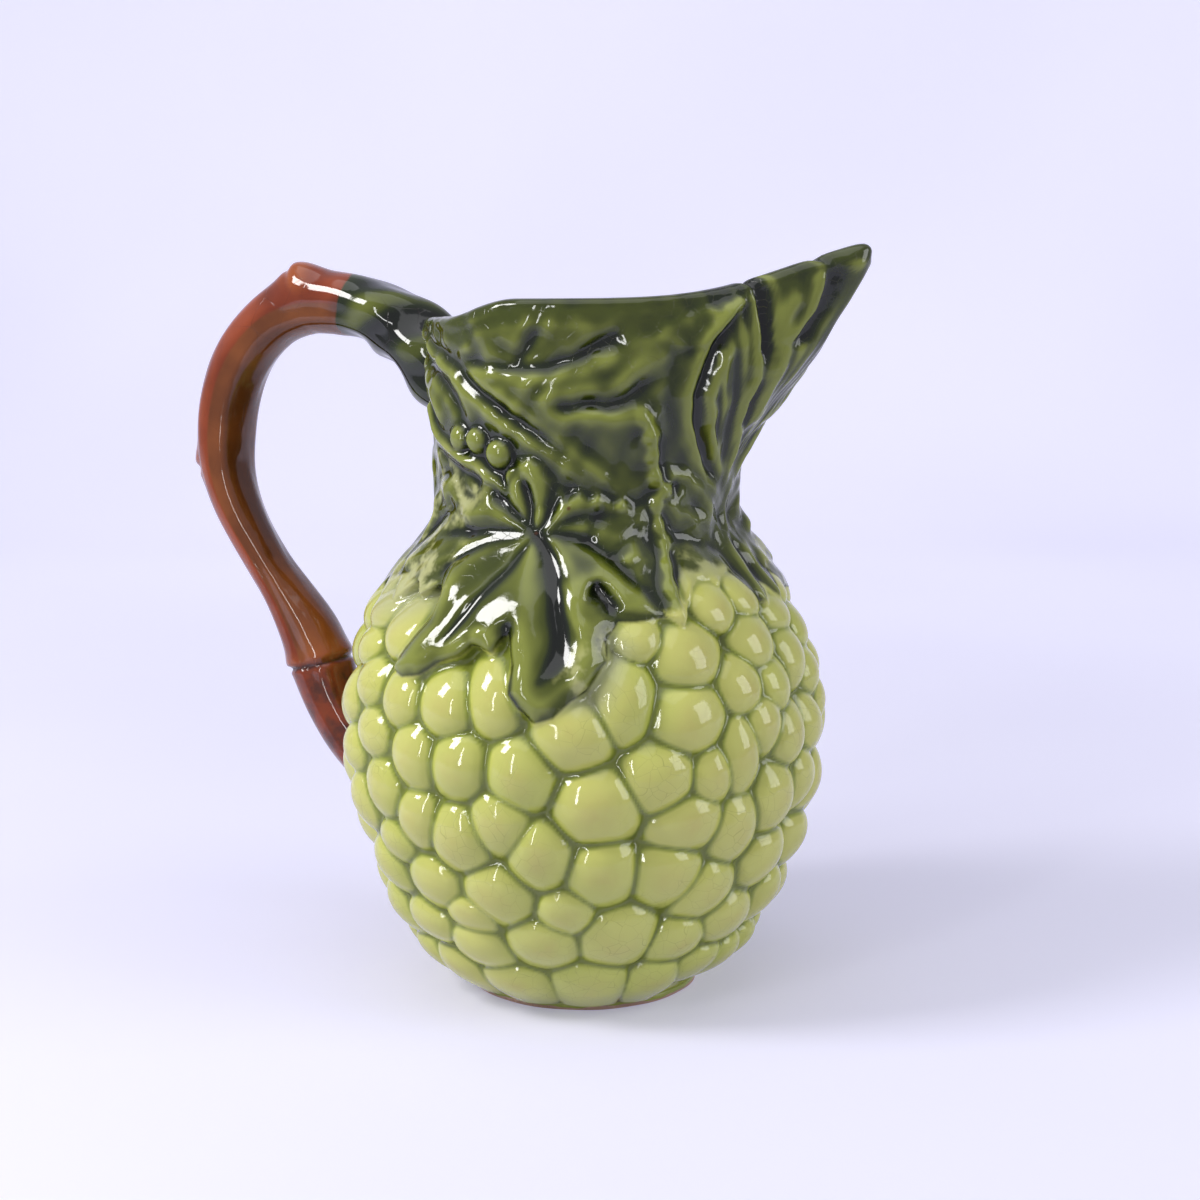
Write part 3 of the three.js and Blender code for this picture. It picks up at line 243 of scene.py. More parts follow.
# Ridges and grooves of the neck on one side: (rise, half width, path of [angle, height])
NECK_LINES = [
    # Folds that run down from the handle
    (2, 3, [[-156, 206], [-138, 200.5], [-128.8, 196.5], [-115.6, 190.8], [-106, 185.1], [-96.9, 179.5],
        [-87, 175.1], [-78.6, 170.1], [-70.5, 164.9], [-61, 160]]),
    (-2, 1.9, [[-146, 205], [-133, 199.8], [-116.7, 194.8], [-106.9, 189.1], [-97.6, 184], [-88.6, 179],
        [-80.1, 175.3], [-72, 170.5]]),
    (1.1, 2, [[-111.4, 193.6], [-103.5, 191.1], [-96.5, 187.3], [-91, 184.8], [-85, 180.4]]),
    (1.3, 2.4, [[-85, 179.7], [-76.9, 174], [-67.3, 168.9], [-59.3, 163.7], [-55, 160]]),
    (-2, 2.3, [[-150, 199], [-134.3, 193], [-123.7, 189.3], [-117.6, 184.1], [-112.5, 179], [-109, 176]]),
    (1.6, 2.8, [[-154, 195], [-139.4, 186.8], [-130.9, 181.7], [-127.3, 176.4]]),
    # Upper leaf
    (1.4, 2.6, [[-104, 193.3], [-89.9, 192], [-79.7, 190.8], [-70.2, 192.6], [-63.3, 194.1], [-58.1, 196],
        [-50.8, 200.5]]),
    (-1.4, 1.4, [[-110, 197], [-100, 194.9], [-90, 193.9], [-78, 194.2], [-68, 196.8], [-60, 200.5],
        [-53, 204.5]]),
    (-1.4, 2.8, [[-60, 198.5], [-52, 203]]),
    (-1.5, 1.6, [[-78.8, 205.5], [-82.1, 201.7], [-85.5, 197.2], [-87.2, 195.2]]),
    (1, 2, [[-95.3, 197.1], [-94, 198.2]]),
    (1.1, 2, [[-112.6, 197.8], [-106, 199]]),
    (0.9, 1.8, [[-91.5, 201.6], [-90, 202.4]]),
    (1, 1.8, [[-130, 206.2], [-114, 206], [-106, 207], [-99.8, 208.9], [-92.2, 210.9]]),
    # Curled lobe and its slot
    (1.3, 2.8, [[-38.6, 196.6], [-43.5, 196], [-47.8, 194.1], [-52.1, 190.2], [-59.6, 188.3],
        [-67.2, 187.7], [-73.4, 187], [-76.6, 184.4], [-75.1, 180.5], [-69.6, 179.3], [-61, 180.6],
        [-54.1, 179.3], [-47.3, 180.5]]),
    (-1.9, 1.8, [[-73.5, 183.4], [-68, 182.8], [-63, 184.4], [-57, 183.2], [-51, 184.8], [-46.5, 188],
        [-43.5, 191]]),
    (-1, 2.2, [[-79, 190], [-79, 186]]),
    (-1.3, 3.2, [[-42.5, 192], [-41, 184], [-42, 177]]),
    # Beaded edge
    (2.3, 2, RIBBON_EDGE),
    (-1.4, 1.8, [[-36.5, 174], [-35, 167], [-33.5, 160]]),
    (-1.5, 1.7, [[-35.6, 146], [-34.6, 141], [-35.3, 135], [-36.3, 130], [-36.5, 126]]),
    # Spout
    (1.7, 1.7, [[-17.8, 214], [-22.3, 211.2], [-26.9, 203.5], [-29.4, 194.7], [-30.4, 185.8],
        [-28.7, 177.7], [-23.4, 169.2], [-15.7, 161.5], [-5.5, 152.4]]),
    (-1.8, 1.6, [[-22.5, 205], [-24.5, 200.5], [-26.8, 192.9], [-28.1, 185.8], [-25.4, 176.7],
        [-18.3, 167.2], [-11.1, 160.3]]),
    (1.3, 1.8, [[-22, 202], [-24, 193], [-24.7, 184], [-21.2, 175.6], [-13.3, 167], [-6, 160]]),
    (-0.9, 2, [[-37, 198], [-37, 190], [-35.5, 180], [-32, 170], [-27, 163.5]]),
    (1.6, 1.3, [[-16.8, 215.4], [-15.9, 210.5], [-15.1, 203.5], [-14, 197.2], [-12.8, 190.9],
        [-13, 184.1], [-9.6, 176.1], [-5, 166.4], [-4, 158]]),
    (-2.6, 1.3, [[-15.4, 217], [-14.4, 210], [-13.3, 203], [-12.3, 197]]),
    (-1, 1.5, [[-12.2, 198], [-11.2, 190], [-11, 184], [-8, 176]]),
    (1.3, 1.2, [[-6.9, 221.5], [-6.3, 216.7], [-6.3, 210.5], [-7.2, 206], [-7.8, 201.5]]),
    (-2.2, 1.2, [[-5.2, 222], [-4.6, 216], [-4.6, 210], [-5.4, 205], [-6, 201]]),
    (1.1, 1.7, [[-9.3, 215.8], [-11.1, 207], [-11.3, 199], [-9.7, 187], [-5.5, 176]]),
    (0.9, 1.5, [[-8.2, 200.8], [-7.8, 192.7], [-6.5, 185], [-4, 176]]),
    (0.8, 1.6, [[-2.4, 224.6], [-3.9, 221.5]]),
    # Waist under the spout
    (1.5, 1.8, [[-35, 163], [-30, 162.5], [-25, 162], [-18, 158], [-10, 150]]),
    (-2.4, 2, [[-31, 159.5], [-28.5, 159.5]]),
    (1.2, 2, [[-34, 156], [-28, 151], [-20, 150], [-11, 148]]),
    (-1.2, 2.2, [[-31, 146], [-25, 143], [-17, 142], [-11, 140]]),
    (1.5, 1.7, [[1, 160], [0, 147], [-4, 138], [-5.5, 129], [-7, 123]]),
    (-1.5, 2, [[-9, 146], [-9.5, 138], [-10.5, 130], [-10, 123]]),
    (0.9, 1.8, [[-31.5, 132], [-30.5, 132]]),
    (0.9, 1.8, [[-26.5, 133.5], [-25.5, 133.4]]),
    (0.8, 1.8, [[-20, 134], [-19, 134]]),
    (-1.7, 1.4, [[-32, 123], [-27, 120.8], [-21, 120.3], [-15, 122], [-12, 125.5]]),
    (1.2, 1.7, [[-31, 119.5], [-25, 117.8], [-18, 117.5], [-12, 120.5]]),
    (-1.4, 1.2, [[-27, 134], [-29.5, 129], [-32.5, 125.5]]),
    (-1.4, 1.2, [[-23.5, 134], [-23.5, 124.5]]),
    (-1.4, 1.2, [[-20, 134], [-17, 129], [-15, 125]]),
    (0.9, 1.5, [[-25.3, 132], [-26, 126]]),
    (0.9, 1.5, [[-21.5, 132], [-20, 125]]),
    # Behind the big leaf, under the handle
    (-1.6, 1.7, [[-113, 157], [-120, 162], [-128, 163], [-134, 160]]),
    (1.5, 1.8, [[-116, 153], [-123, 156.5], [-131, 155]]),
    (-1.5, 1.6, [[-124, 148.5], [-132, 146], [-139, 140]]),
    (1.4, 1.8, [[-140, 156], [-137, 148], [-143, 138], [-141, 130]]),
    (1.3, 1.8, [[-104, 167], [-113, 166], [-122, 168.5]]),
    (-1.4, 2.6, [[-104, 162], [-112, 163.5], [-122, 166], [-130, 170]]),
    (1.2, 2.4, [[-110, 158], [-120, 160], [-132, 158], [-143, 150]]),
    (1.2, 2.4, [[-124, 153], [-134, 150], [-146, 142]]),
    (1.3, 3, [[-180, 165], [-168, 155], [-158, 140], [-152, 128]]),
    (-1.1, 2, [[-176, 150], [-168, 142], [-164, 131]]),
    (1.2, 2.6, [[-158, 170], [-150, 160], [-148, 148]]),
]
# Beads on the neck's beaded edge: [angle, height]
BEADS = [
    [-43.5, 179], [-41, 174], [-39.6, 168.5], [-37.8, 163], [-37, 157], [-35.5, 152], [-37.7, 145],
    [-38, 138.5], [-38.6, 131],
]
BEAD = (1, 1.6)
BEAD_LENGTH = 0.3
# Leaf blades that lie on the neck: (rise, edge width, outline)
NECK_BLADES = [
    (0.7, 2.6, [[-133, 203.1], [-113.7, 203], [-99, 204.8], [-86.2, 206.5], [-78, 207], [-65.6, 206.3],
        [-54, 205.8], [-61.1, 201.7], [-67.1, 197.9], [-76.4, 195], [-86.3, 194.3], [-94.3, 194.8],
        [-102.2, 195.7], [-110.1, 197.5], [-122.8, 199.9]]),
    (0.9, 2.8, [[-108, 191.5], [-95, 188], [-79, 191], [-62, 193.5], [-52, 198], [-47, 203], [-40, 203],
        [-37, 196], [-37, 186], [-40, 178], [-38, 168], [-36, 160], [-52, 157], [-64, 166], [-75, 174],
        [-87, 180.5]]),
    (1.2, 1.8, [[-20, 212.8], [-29.5, 210.2], [-39.5, 205.8], [-41.8, 202.7], [-34.7, 199], [-28.5, 200],
        [-24, 206]]),
    (0.8, 2.4, [[-36, 155], [-33, 160], [-22, 160], [-12, 154], [-4, 146], [-9, 140], [-20, 145],
        [-30, 148]]),
]
# Long flanks on the neck that face down to the table: (rise, reach, path of [angle, height])
NECK_ROOFS = [
    (2.2, 11, [[-98.3, 204.6], [-85.7, 206.3], [-71.9, 206.9], [-58.7, 205.8]]),
    (2.2, 12, [[-96, 190.8], [-84, 188.3], [-74.6, 185.6], [-65.3, 181.6], [-55.5, 180], [-44, 178.6]]),
    (2.2, 30, [[-41, 201], [-35, 200]]),
    (1.4, 8, [[-134, 190], [-122, 184], [-112, 179]]),
]
NECK_SOFTNESS = 0.9
# The spout's relief is stronger and crisper, between these angles and heights
SPOUT_CRISPNESS = 1.9
SPOUT_SOFTNESS = (0.6, 0.5)
SPOUT_SIDES = (-34, -18)
SPOUT_HEIGHTS = (158, 180)
# Streaks down the spout: their rise, and how they fan out below the rim
STREAK_RISE = 0.35
STREAK_FAN = 0.012
STREAK_FLARE = 60
# Share of the neck's folds left at the rim, and the band over which they fade
FOLDS_AT_RIM = 0.45
RIM_BAND = 5
JOINT_CLEARANCE = 7
# How softly the neck's hem and the far lobe end over the grapes
HEM_BLEND = 0.5
NECK_HEM_EDGE = (-2.6, 0.8)
LOBE_EDGE = (-2.2, 0.6)
LOBE_RISE = (1, 2.2)
# Shares of a ridge's length over which it fades at each end
LINE_FADE = (-0.06, 0.12)
# Sideways drift of the clay's unevenness: (size, radians per mm or per degree)
WAVE_DRIFT = (1.4, 0.11)
WAVE_SWAY = (1.7, 0.07)
# Unevenness of the clay: (radians per degree round the jug, radians per mm up it, size, shift)
WAVES = [(0.33, 0.21, 0.26, 0.4), (0.55, 0.34, 0.2, 2.1), (0.21, 0.48, 0.16, 4.0), (0.8, 0.6, 0.1, 1.2)]
# Lobes that lie across the front line: (rise, half width, path of [angle, height])
FRONT_LINES = [
    (3, 5, [[8, 143], [13, 137], [16, 129]]),
    (4.5, 6, [[17, 147], [24, 141], [29, 133]]),
    (-1.8, 2, [[1.5, 142], [2, 135], [-1, 129.5]]),
    (0.9, 5, [[-24, 128], [-18, 126]]),
]
# Lower edge of the neck's relief over the grapes: [angle, height]
NECK_HEM = [
    [-180, 121], [-174, 128], [-167, 119], [-160, 128], [-152, 120], [-146, 129], [-140, 123], [-134, 130],
    [-128, 124], [-122, 131], [-117, 127], [-111, 131], [-60, 131], [-42, 124], [-38.5, 121.5],
    [-34.5, 127], [-31, 131.5], [-26, 133], [-20.5, 131], [-17.5, 133], [-12.5, 134.5], [-8, 128],
    [-5, 123], [0, 127],
]
# Lower edge of the dark glaze, where it differs from the relief's edge: [angle, height]
DARK_HEM = [
    [-180, 123], [-174, 129], [-167, 121], [-160, 129], [-152, 123], [-143, 129], [-132, 133], [-118, 129],
    [-60, 126], [-42, 125], [-38.5, 127], [-35.5, 132], [-32, 136], [-27, 135], [-22, 137.5], [-17, 135.5],
    [-13.5, 136.5], [-11, 130], [-8, 125], [-4, 125], [0, 130],
]
# A lobe of the far leaf that stands out beside the front line: [angle, height]
FAR_LOBE = [[6, 146], [7, 138], [12, 131], [18, 126], [26, 124], [33, 127], [36, 134], [30, 143], [18, 148]]
# Places where pale glaze shows through the dark, lightened there as a painted reflection
MOTTLED_BACK = [
    [-150, 128], [-134, 122], [-121, 121.5], [-112, 126], [-107, 133], [-110, 141], [-115, 147],
    [-108, 155], [-106, 161], [-118, 165], [-134, 168], [-146, 156],
]
MOTTLED_PATCHES = [
    [[-70, 100], [-71, 108], [-68, 114], [-63, 119], [-56, 122], [-52, 117], [-60, 99]],
    [[-34, 134], [-31, 140], [-22, 141], [-14, 139], [-12, 133]],
]

# The bud sprig under the handle
STALK = [
    [-141, 181], [-139, 176], [-132, 172], [-126.5, 169.7], [-115.2, 166.9], [-105.4, 164], [-98.1, 160.3],
    [-92.3, 156.2], [-85, 149.5],
]
STALK_RISE = 2
STALK_REACH = 2
STALK_HALF_WIDTH = 2.6
STALK_ENDS = (9, 5)
STALK_MARGIN = 8
STALK_MOAT = 3.4
FAR_AWAY = 9.0
BERRY_HEIGHT = 0.8
BERRY_SINK = 0.4
BERRY_BLEND = 0.3
BERRY_MARGIN = 0.9
MOAT_DEPTH = 0.3
MOAT_REACH = 1.6
# The berries: [angle, height, radius]
BERRIES = [[-116, 172.8, 4], [-106.4, 172.5, 4], [-96.3, 169, 4.4], [-89.8, 162.3, 3.2]]

# The handle's centre line, from the neck's wall to inside the belly: [x, z]
HANDLE_PATH = [
    [-40, 186], [-50, 193], [-60, 201.5], [-70, 207.8], [-80, 210.8], [-89, 211.8], [-98, 211.3],
    [-110, 207.3], [-119.5, 200], [-126.5, 190.5], [-130.8, 179], [-132.4, 167], [-132, 157], [-129.5, 148],
    [-124.8, 138.5], [-117.8, 127.5], [-110.3, 116.5], [-103.2, 104.5], [-97.4, 93], [-91, 81], [-83, 69.5],
    [-73, 59], [-62, 51],
]
# Half sizes of the branch's section: [share of its length, half size]
HANDLE_DEPTH = [
    [0, 15], [0.04, 13.4], [0.08, 11.8], [0.12, 10.8], [0.2, 10.3], [0.34, 9.9], [0.46, 9.5], [0.54, 8.2],
    [0.62, 7], [0.69, 6.9], [0.76, 8.2], [0.81, 9], [0.9, 9.4], [1, 8],
]
HANDLE_HALF_WIDTH = [
    [0, 14.5], [0.08, 12.6], [0.2, 11], [0.34, 10.4], [0.48, 10], [0.6, 8.8], [0.7, 8.7], [0.8, 9.8],
    [0.9, 11], [1, 11],
]
# The section's shape: [degrees from its outer side, share of the half size]
HANDLE_SECTION = [
    [0, 1], [30, 1.01], [60, 1.03], [80, 1.035], [90, 1.005], [98, 0.995], [106, 1.01], [113, 1.04],
    [118, 1.055], [125, 1.05], [138, 1], [160, 0.93], [180, 0.91],
]
# Knots: (share of the length, rise and half length of the bulge, depth and half width of its groove,
# share that goes round to the inner side, how far it leans, how wide it is on the outer side)
HANDLE_KNOTS = [
    (0.25, 4.4, 6, 1, 1.6, 0.03, 3, 0.1),
    (0.503, 2.2, 5, 1.6, 1.1, 0, 0, 0.55),
    (0.774, 0.9, 3, 1.8, 0.8, 0.8, -2.2, -0.1),
]
# Bark grooves: (number round the branch, size, length of their drift)
BARK_WAVES = [(2, 0.3, 26), (3, 0.2, 17), (7, 0.1, 11)]
HANDLE_WEB = 3.4
# How deep the branch ends inside the wall, and where its green end starts
END_DEPTH = 1.5
GREEN_END = (-83.5, -78.5)
GREEN_RAGGED = 1.8
GREEN_LIMIT = 0.35
# Shares of the length: the leafy upper end, the web in the bend and the plum lower end
LEAFY_END = (0.23, 0.1)
WEB_START = (0.64, 0.76)
WEB_END = (0.85, 0.77)
LOWER_END = (0.776, 0.79)
# The outer face's edge in degrees, and how the bark gathers and sheds its glaze; the darker colour where it
# gathers is also painted shade in the grooves, the lighter where it sheds also painted sheen on the ridges
OUTER_FACE = (100, 76)
BARK_DEPTH = 1.1
LEAFY_POOLING = 0.75
LEAFY_COVER = 0.8
HANDLE_SOFTNESS = (9, 3)
# Ovals on the body's back: (height, half width, half height)
UPPER_JOINT = (189, 13, 20)
LOWER_JOINT = (63, 11, 14)
BROWN_RUN = (63, 12, 15)
BLEED_EDGE = (5.5, 0.5)
BLEED_TOP = (130, 110)
# Clay that fairs the handle in: (oval, rise, reach)
JOINT_CLAY = [(UPPER_JOINT, 2.4, 3.2), (LOWER_JOINT, 1.6, 3)]
# The foot's profile from below: (radius, height, glazed or not)
FOOT_PROFILE = [
    (30, 0, 0), (35.6, 0, 0), (36.2, 0.4, 0), (36.3, 1, 0), (36.5, 1.35, 1), (36.6, 1.9, 1), (36.6, 2.6, 1),
    (34, 2.75, 1),
]
# Heights of the foot's rings that follow the glaze's ragged edge
GLAZE_EDGE = (1, 1.35, 1.9)
FOOT_COLUMNS = 240
# Notches where the leaves meet on the spout's rim: [angle, depth, half width in degrees]
RIM_NOTCHES = [[16.2, 1.4, 1.1], [5.6, 1.2, 0.8]]

# Mesh steps
COLUMNS = 520
FRONT_CROWDING = 0.2
BELLY_ROWS = 150
NECK_ROWS = 124
LIP_ROWS = 7
NECK_INNER_ROWS = 26
NECK_STEP = 0.7
COLUMN_STEP = 0.55
BELLY_INNER_ROWS = 20
HANDLE_COLUMNS = 96
HANDLE_ROWS = 420

# Softness of the surface and of the two wider copies that show its hollows, across and along
SURFACE_SOFTNESS = [(0.7, 0.75), (1.6, 2), (4, 5)]
# Depths in mm at which the glaze pools fully, with painted shade in the hollows, or runs thinnest, with
# painted sheen on the ridges
POOL_SHADE_DEPTH = 1.9
THIN_SHEEN_HEIGHT = 2
FINE_DEPTH = 1.2
FINE_POOLED_SHADE = 0.4
FINE_THIN_SHEEN = 0.3
# Extra lightness of thinner glaze, also painted sheen, below the rim, on the big leaf, on the streaks and on
# the ribbon
NECK_THIN_SHEEN = 0.2
THIN_BELOW_RIM = (3, 18)
THIN_HEIGHTS = (150, 166)
BLADE_THIN_SHEEN = 0.03
STREAK_THIN_SHEEN = 0.16
RIBBON_THIN_SHEEN = 0.8
# Edges of the dark glaze and of its mottled places
DARK_HEM_EDGE = (-2.6, 2.8)
DARK_HEM_SOFTNESS = (1.6, 1.4)
DARK_LEAF_EDGE = (-1.6, 1.6)
BACK_EDGE = (-7, 3)
BACK_MARGIN = 8
PATCH_EDGE = (-3, 3)
PATCH_STRENGTH = 0.9

# Glaze colours as screen codes
GRAPE_YELLOW, GRAPE_GREEN, GRAPE_TINT = 0xC8C96A, 0xBAC15C, 0xC8C872
# The grapes' colour where the glaze runs thinner is also painted sheen on their ridges
GRAPE_CROWN, GRAPE_THIN_SHEEN = 0xC0B264, 0xD2CE84
# The colours where glaze pools in the creases also paint the creases' shade
GRAPE_POOLED_SHADE, GRAPE_DEEP_SHADE = 0x929C3E, 0x727C30
# The leaf's colour where the glaze runs thinner is also painted sheen on its ridges
LEAF_OLIVE, LEAF_GREEN, LEAF_STREAK, LEAF_THIN_SHEEN = 0x434B0A, 0x333C06, 0x4A5616, 0x848C3C
# The leaf's colours where glaze pools also paint shade in its hollows
LEAF_POOLED_SHADE, LEAF_DEEP_SHADE = 0x1C2606, 0x0C1204
# The pale that shows through the dark is lightened as a painted reflection
MOTTLE_REFLECTION, BLED_BROWN = 0xAEB088, 0x6E3A1C
GLAZE_CRACK, BROWN_CRACK, IRON_SPECK = 0x5A5A24, 0x2E140A, 0x5A2A14
RUST_LIGHT, RUST_DARK = 0x92421F, 0x763013
BROWN_LIGHT, BROWN_DARK = 0x84491F, 0x683714
PLUM_LIGHT, PLUM_DARK = 0x7A3014, 0x3A1C1A
# Brown where the glaze runs thinner or pools also paints sheen on the bark's ridges and shade in its grooves
BROWN_THIN_SHEEN, BROWN_POOLED_SHADE = 0xB0602E, 0x451C0A
CLAY_LIGHT, CLAY_DARK, CLAY_GRAIN, FOOT_GLAZE = 0xCDAA98, 0xB48F7E, 0x8E6A5A, 0x9CA548
TABLE_LIGHT, TABLE_DARK = 0xD3D2E6, 0xCECDE3
ROOM_LIGHT, ROOM_DARK = 0xE8E7FC, 0xE3E2FA
DIM_ROOM = (0.92, 0.92, 1.0, 1)
PALE_ROOM = (0.83, 0.82, 1.0, 1)
CRACK_BEND = 0.006

# The set, in metres: the photograph is taken 25 degrees round from the jug's side
PHOTO_TURN = 25 * DEG
CAMERA_PLACE = (0.0054, 0.617, 0.213)
CAMERA_SLOPE = 0.15
TABLE_FRONT = -0.32
TABLE_HALF_WIDTH = 2.2
WALL_BEHIND = 1.6
WALL_TOP = 2.2
SWEEP = 0.5
SWEEP_STEPS = 16
LAMP_TARGET = 0.12
# Soft boxes: (name, azimuth, elevation, distance, size, power, colour)
LAMPS = [
    ("left_window", -136, 38, 1.1, (0.32, 0.38), 8.0, (1.0, 0.99, 0.98)),
    ("left_strip", -99, 14, 1.1, (0.07, 0.75), 3.0, (1.0, 1.0, 1.0)),
    ("right_panel", 6, 20, 1.25, (0.66, 0.85), 6.6, (0.97, 0.98, 1.0)),
    ("ceiling", -90, 78, 1.6, (1.6, 1.6), 9.2, (0.97, 0.97, 1.0)),
]


def bell(gap, reach):
    """1 where the gap is 0, falling softly over the reach."""
    return np.exp(-((gap / reach) ** 2))


def between(low, high, share):
    return low + (high - low) * share


def smooth_value(table, place):
    """Smooth interpolation in a table of [place, value]."""
    xs, ys = np.array(table, float).T
    slopes = np.empty_like(ys)
    slopes[1:-1] = (ys[2:] - ys[:-2]) / (xs[2:] - xs[:-2])
    slopes[0] = (ys[1] - ys[0]) / (xs[1] - xs[0])
    slopes[-1] = (ys[-1] - ys[-2]) / (xs[-1] - xs[-2])
    place = np.clip(np.asarray(place, float), xs[0], xs[-1])
    k = np.clip(np.searchsorted(xs, place) - 1, 0, len(xs) - 2)
    span = xs[k + 1] - xs[k]
    t = (place - xs[k]) / span
    return (
        (2 * t**3 - 3 * t**2 + 1) * ys[k]
        + (t**3 - 2 * t**2 + t) * span * slopes[k]
        + (3 * t**2 - 2 * t**3) * ys[k + 1]
        + (t**3 - t**2) * span * slopes[k + 1]
    )


def smooth_step(low, high, value):
    t = np.clip((value - low) / (high - low), 0, 1)
    return t * t * (3 - 2 * t)


def fold_angle(angle):
    return (angle + 180) % 360 - 180


def prow_share(angle, height):
    """1 on the spout's front line, falling to the sides."""
    rounding = smooth_value(PROW_ROUNDING, height)
    off = np.abs(fold_angle(angle))
    return np.exp(-(np.hypot(off, rounding) - rounding) / smooth_value(SPOUT_SPREAD, height))


def body_radius(angle, height):
    return smooth_value(BODY_RADIUS, height) + smooth_value(SPOUT_REACH, height) * prow_share(angle, height)


def rim_height(angle):
    off = np.abs(fold_angle(angle))
    reach = np.exp(-(np.hypot(off, TIP_ROUNDING) - TIP_ROUNDING) / TIP_SPREAD)
    height = RIM_HEIGHT + TIP_RISE * reach**TIP_SHARPNESS - RIM_DIP * smooth_step(*RIM_DIP_ANGLES, off)
    for place, depth, half_width in RIM_NOTCHES:
        height = height - depth * bell(off - place, half_width)
    return height


def radial_wall(angle, height):
    """Wall measured square to the surface, as a distance along the radius."""
    radius = body_radius(angle, height)
    round_slope = (body_radius(angle + 1, height) - body_radius(angle - 1, height)) / (2 * DEG * radius)
    up_slope = (body_radius(angle, height + 1) - body_radius(angle, height - 1)) / 2
    return WALL * np.minimum(np.sqrt(1 + round_slope**2 + up_slope**2), STEEPEST_WALL)


class Side:
    """The places of a grid folded onto one side, and distances to lines on it in millimetres."""

    def __init__(self, angle, height, folded=True):
        self.angle = -np.abs(fold_angle(angle)) if folded else fold_angle(angle)
        self.height = height
        self.scale = smooth_value(BODY_RADIUS, height) * DEG

    def near(self, path, margin):
        """Whether each place may lie within the margin of a path."""
        (first, low), (last, high) = np.min(path, axis=0), np.max(path, axis=0)
        wide = margin / self.scale.min()
        beside = (self.angle > first - wide) & (self.angle < last + wide)
        return beside & (self.height > low - margin) & (self.height < high + margin)

    def path_distance(self, path, where):
        """Distance to a path and the share of its length at the nearest place."""
        a, h, scale = self.angle[where], self.height[where], self.scale[where]
        nearest = np.full(a.shape, np.inf)
        share = np.zeros(a.shape)
        lengths = [math.hypot(q[0] - p[0], q[1] - p[1]) for p, q in zip(path, path[1:])]
        whole = sum(lengths)
        done = 0
        for start, end, length in zip(path, path[1:], lengths):
            du, dv = (end[0] - start[0]) * scale, end[1] - start[1]
            pu, pv = (a - start[0]) * scale, h - start[1]
            t = np.clip((pu * du + pv * dv) / np.maximum(du * du + dv * dv, TINY), 0, 1)
            distance = np.hypot(pu - t * du, pv - t * dv)
            closer = distance < nearest
            nearest = np.where(closer, distance, nearest)
            share = np.where(closer, (done + t * length) / whole, share)
            done += length
        return nearest, share

    def gap_to(self, path, margin, far=20.0):
        """Distance to a path at every place, held at a far value."""
        gap = np.full(self.angle.shape, float(far))
        where = self.near(path, margin)
        gap[where] = np.minimum(self.path_distance(path, where)[0], far)
        return gap

    def gap_to_point(self, angle, height):
        return np.hypot((self.angle - angle) * self.scale, self.height - height)

    def depth_inside(self, outline, margin):
        """Distance inside a closed outline, negative outside it, held at the margin."""
        depth = np.full(self.angle.shape, -float(margin))
        where = self.near(outline, margin)
        nearest, _ = self.path_distance(outline + outline[:1], where)
        a, h = self.angle[where], self.height[where]
        inside = np.zeros(a.shape, bool)
        for start, end in zip(outline, outline[1:] + outline[:1]):
            if start[1] == end[1]:
                continue
            crosses = (start[1] > h) != (end[1] > h)
            place = start[0] + (h - start[1]) / (end[1] - start[1]) * (end[0] - start[0])
            inside ^= crosses & (a < place)
        depth[where] = np.maximum(np.where(inside, nearest, -nearest), -margin)
        return depth

    def relief(self, lines, margin, shape, join):
        """Relief along lines of (rise, reach, path); the shape gives it, and the join adds it to the rest."""
        relief = np.zeros(self.angle.shape)
        for rise, reach, path in lines:
            where = self.near(path, margin * reach)
            gap, share = self.path_distance(path, where)
            relief[where] = join(relief[where], rise * shape(gap, reach, share))
        return relief

    def line_relief(self, lines):
        """Rounded ridges and grooves along paths, fading at their ends."""

        def shape(gap, reach, share):
            return bell(gap, reach) * smooth_step(*LINE_FADE, share) * smooth_step(*LINE_FADE, 1 - share)

        return self.relief(lines, 3, shape, np.add)

    def groove_relief(self, lines):
        """Grooves that start narrow at one middle and widen outwards; where they meet, the deepest counts."""

        def shape(gap, reach, share):
            wide = reach * (VEIN_START + (1 - VEIN_START) * smooth_step(0, VEIN_WIDENS, share))
            return bell(gap, wide) * smooth_step(0, VEIN_ENDS, 1 - share)

        return -self.relief(lines, 3, shape, np.maximum)

    def roof_relief(self, lines):
        """Ridges with straight flanks; where they meet, the highest counts."""
        return self.relief(lines, 1, lambda gap, reach, _: np.clip(1 - gap / reach, 0, 1), np.maximum)

    def blade_relief(self, blades):
        relief = np.zeros(self.angle.shape)
        for rise, edge, outline in blades:
            relief += rise * smooth_step(-edge / 2, edge / 2, self.depth_inside(outline, 3))
        return relief

    def hem_depth(self, hem):
        """Height above a hem line."""
        return self.height - np.interp(self.angle, *np.array(hem, float).T)


def blurred(field, across, along):
    """Soft copy of a grid of values: across its rows and, round the axis, along its columns."""
    for spread, mode, axis in ((along, "wrap", 1), (across, "edge", 0)):
        reach = max(1, round(3 * spread))
        weights = np.exp(-0.5 * (np.arange(-reach, reach + 1) / spread) ** 2)
        margins = [(0, 0), (0, 0)]
        margins[axis] = (reach, reach)
        padded = np.pad(field, margins, mode=mode)
        shifted = (np.take(padded, range(n, n + field.shape[axis]), axis) for n in range(len(weights)))
        field = sum(weight * part for weight, part in zip(weights / weights.sum(), shifted))
    return field


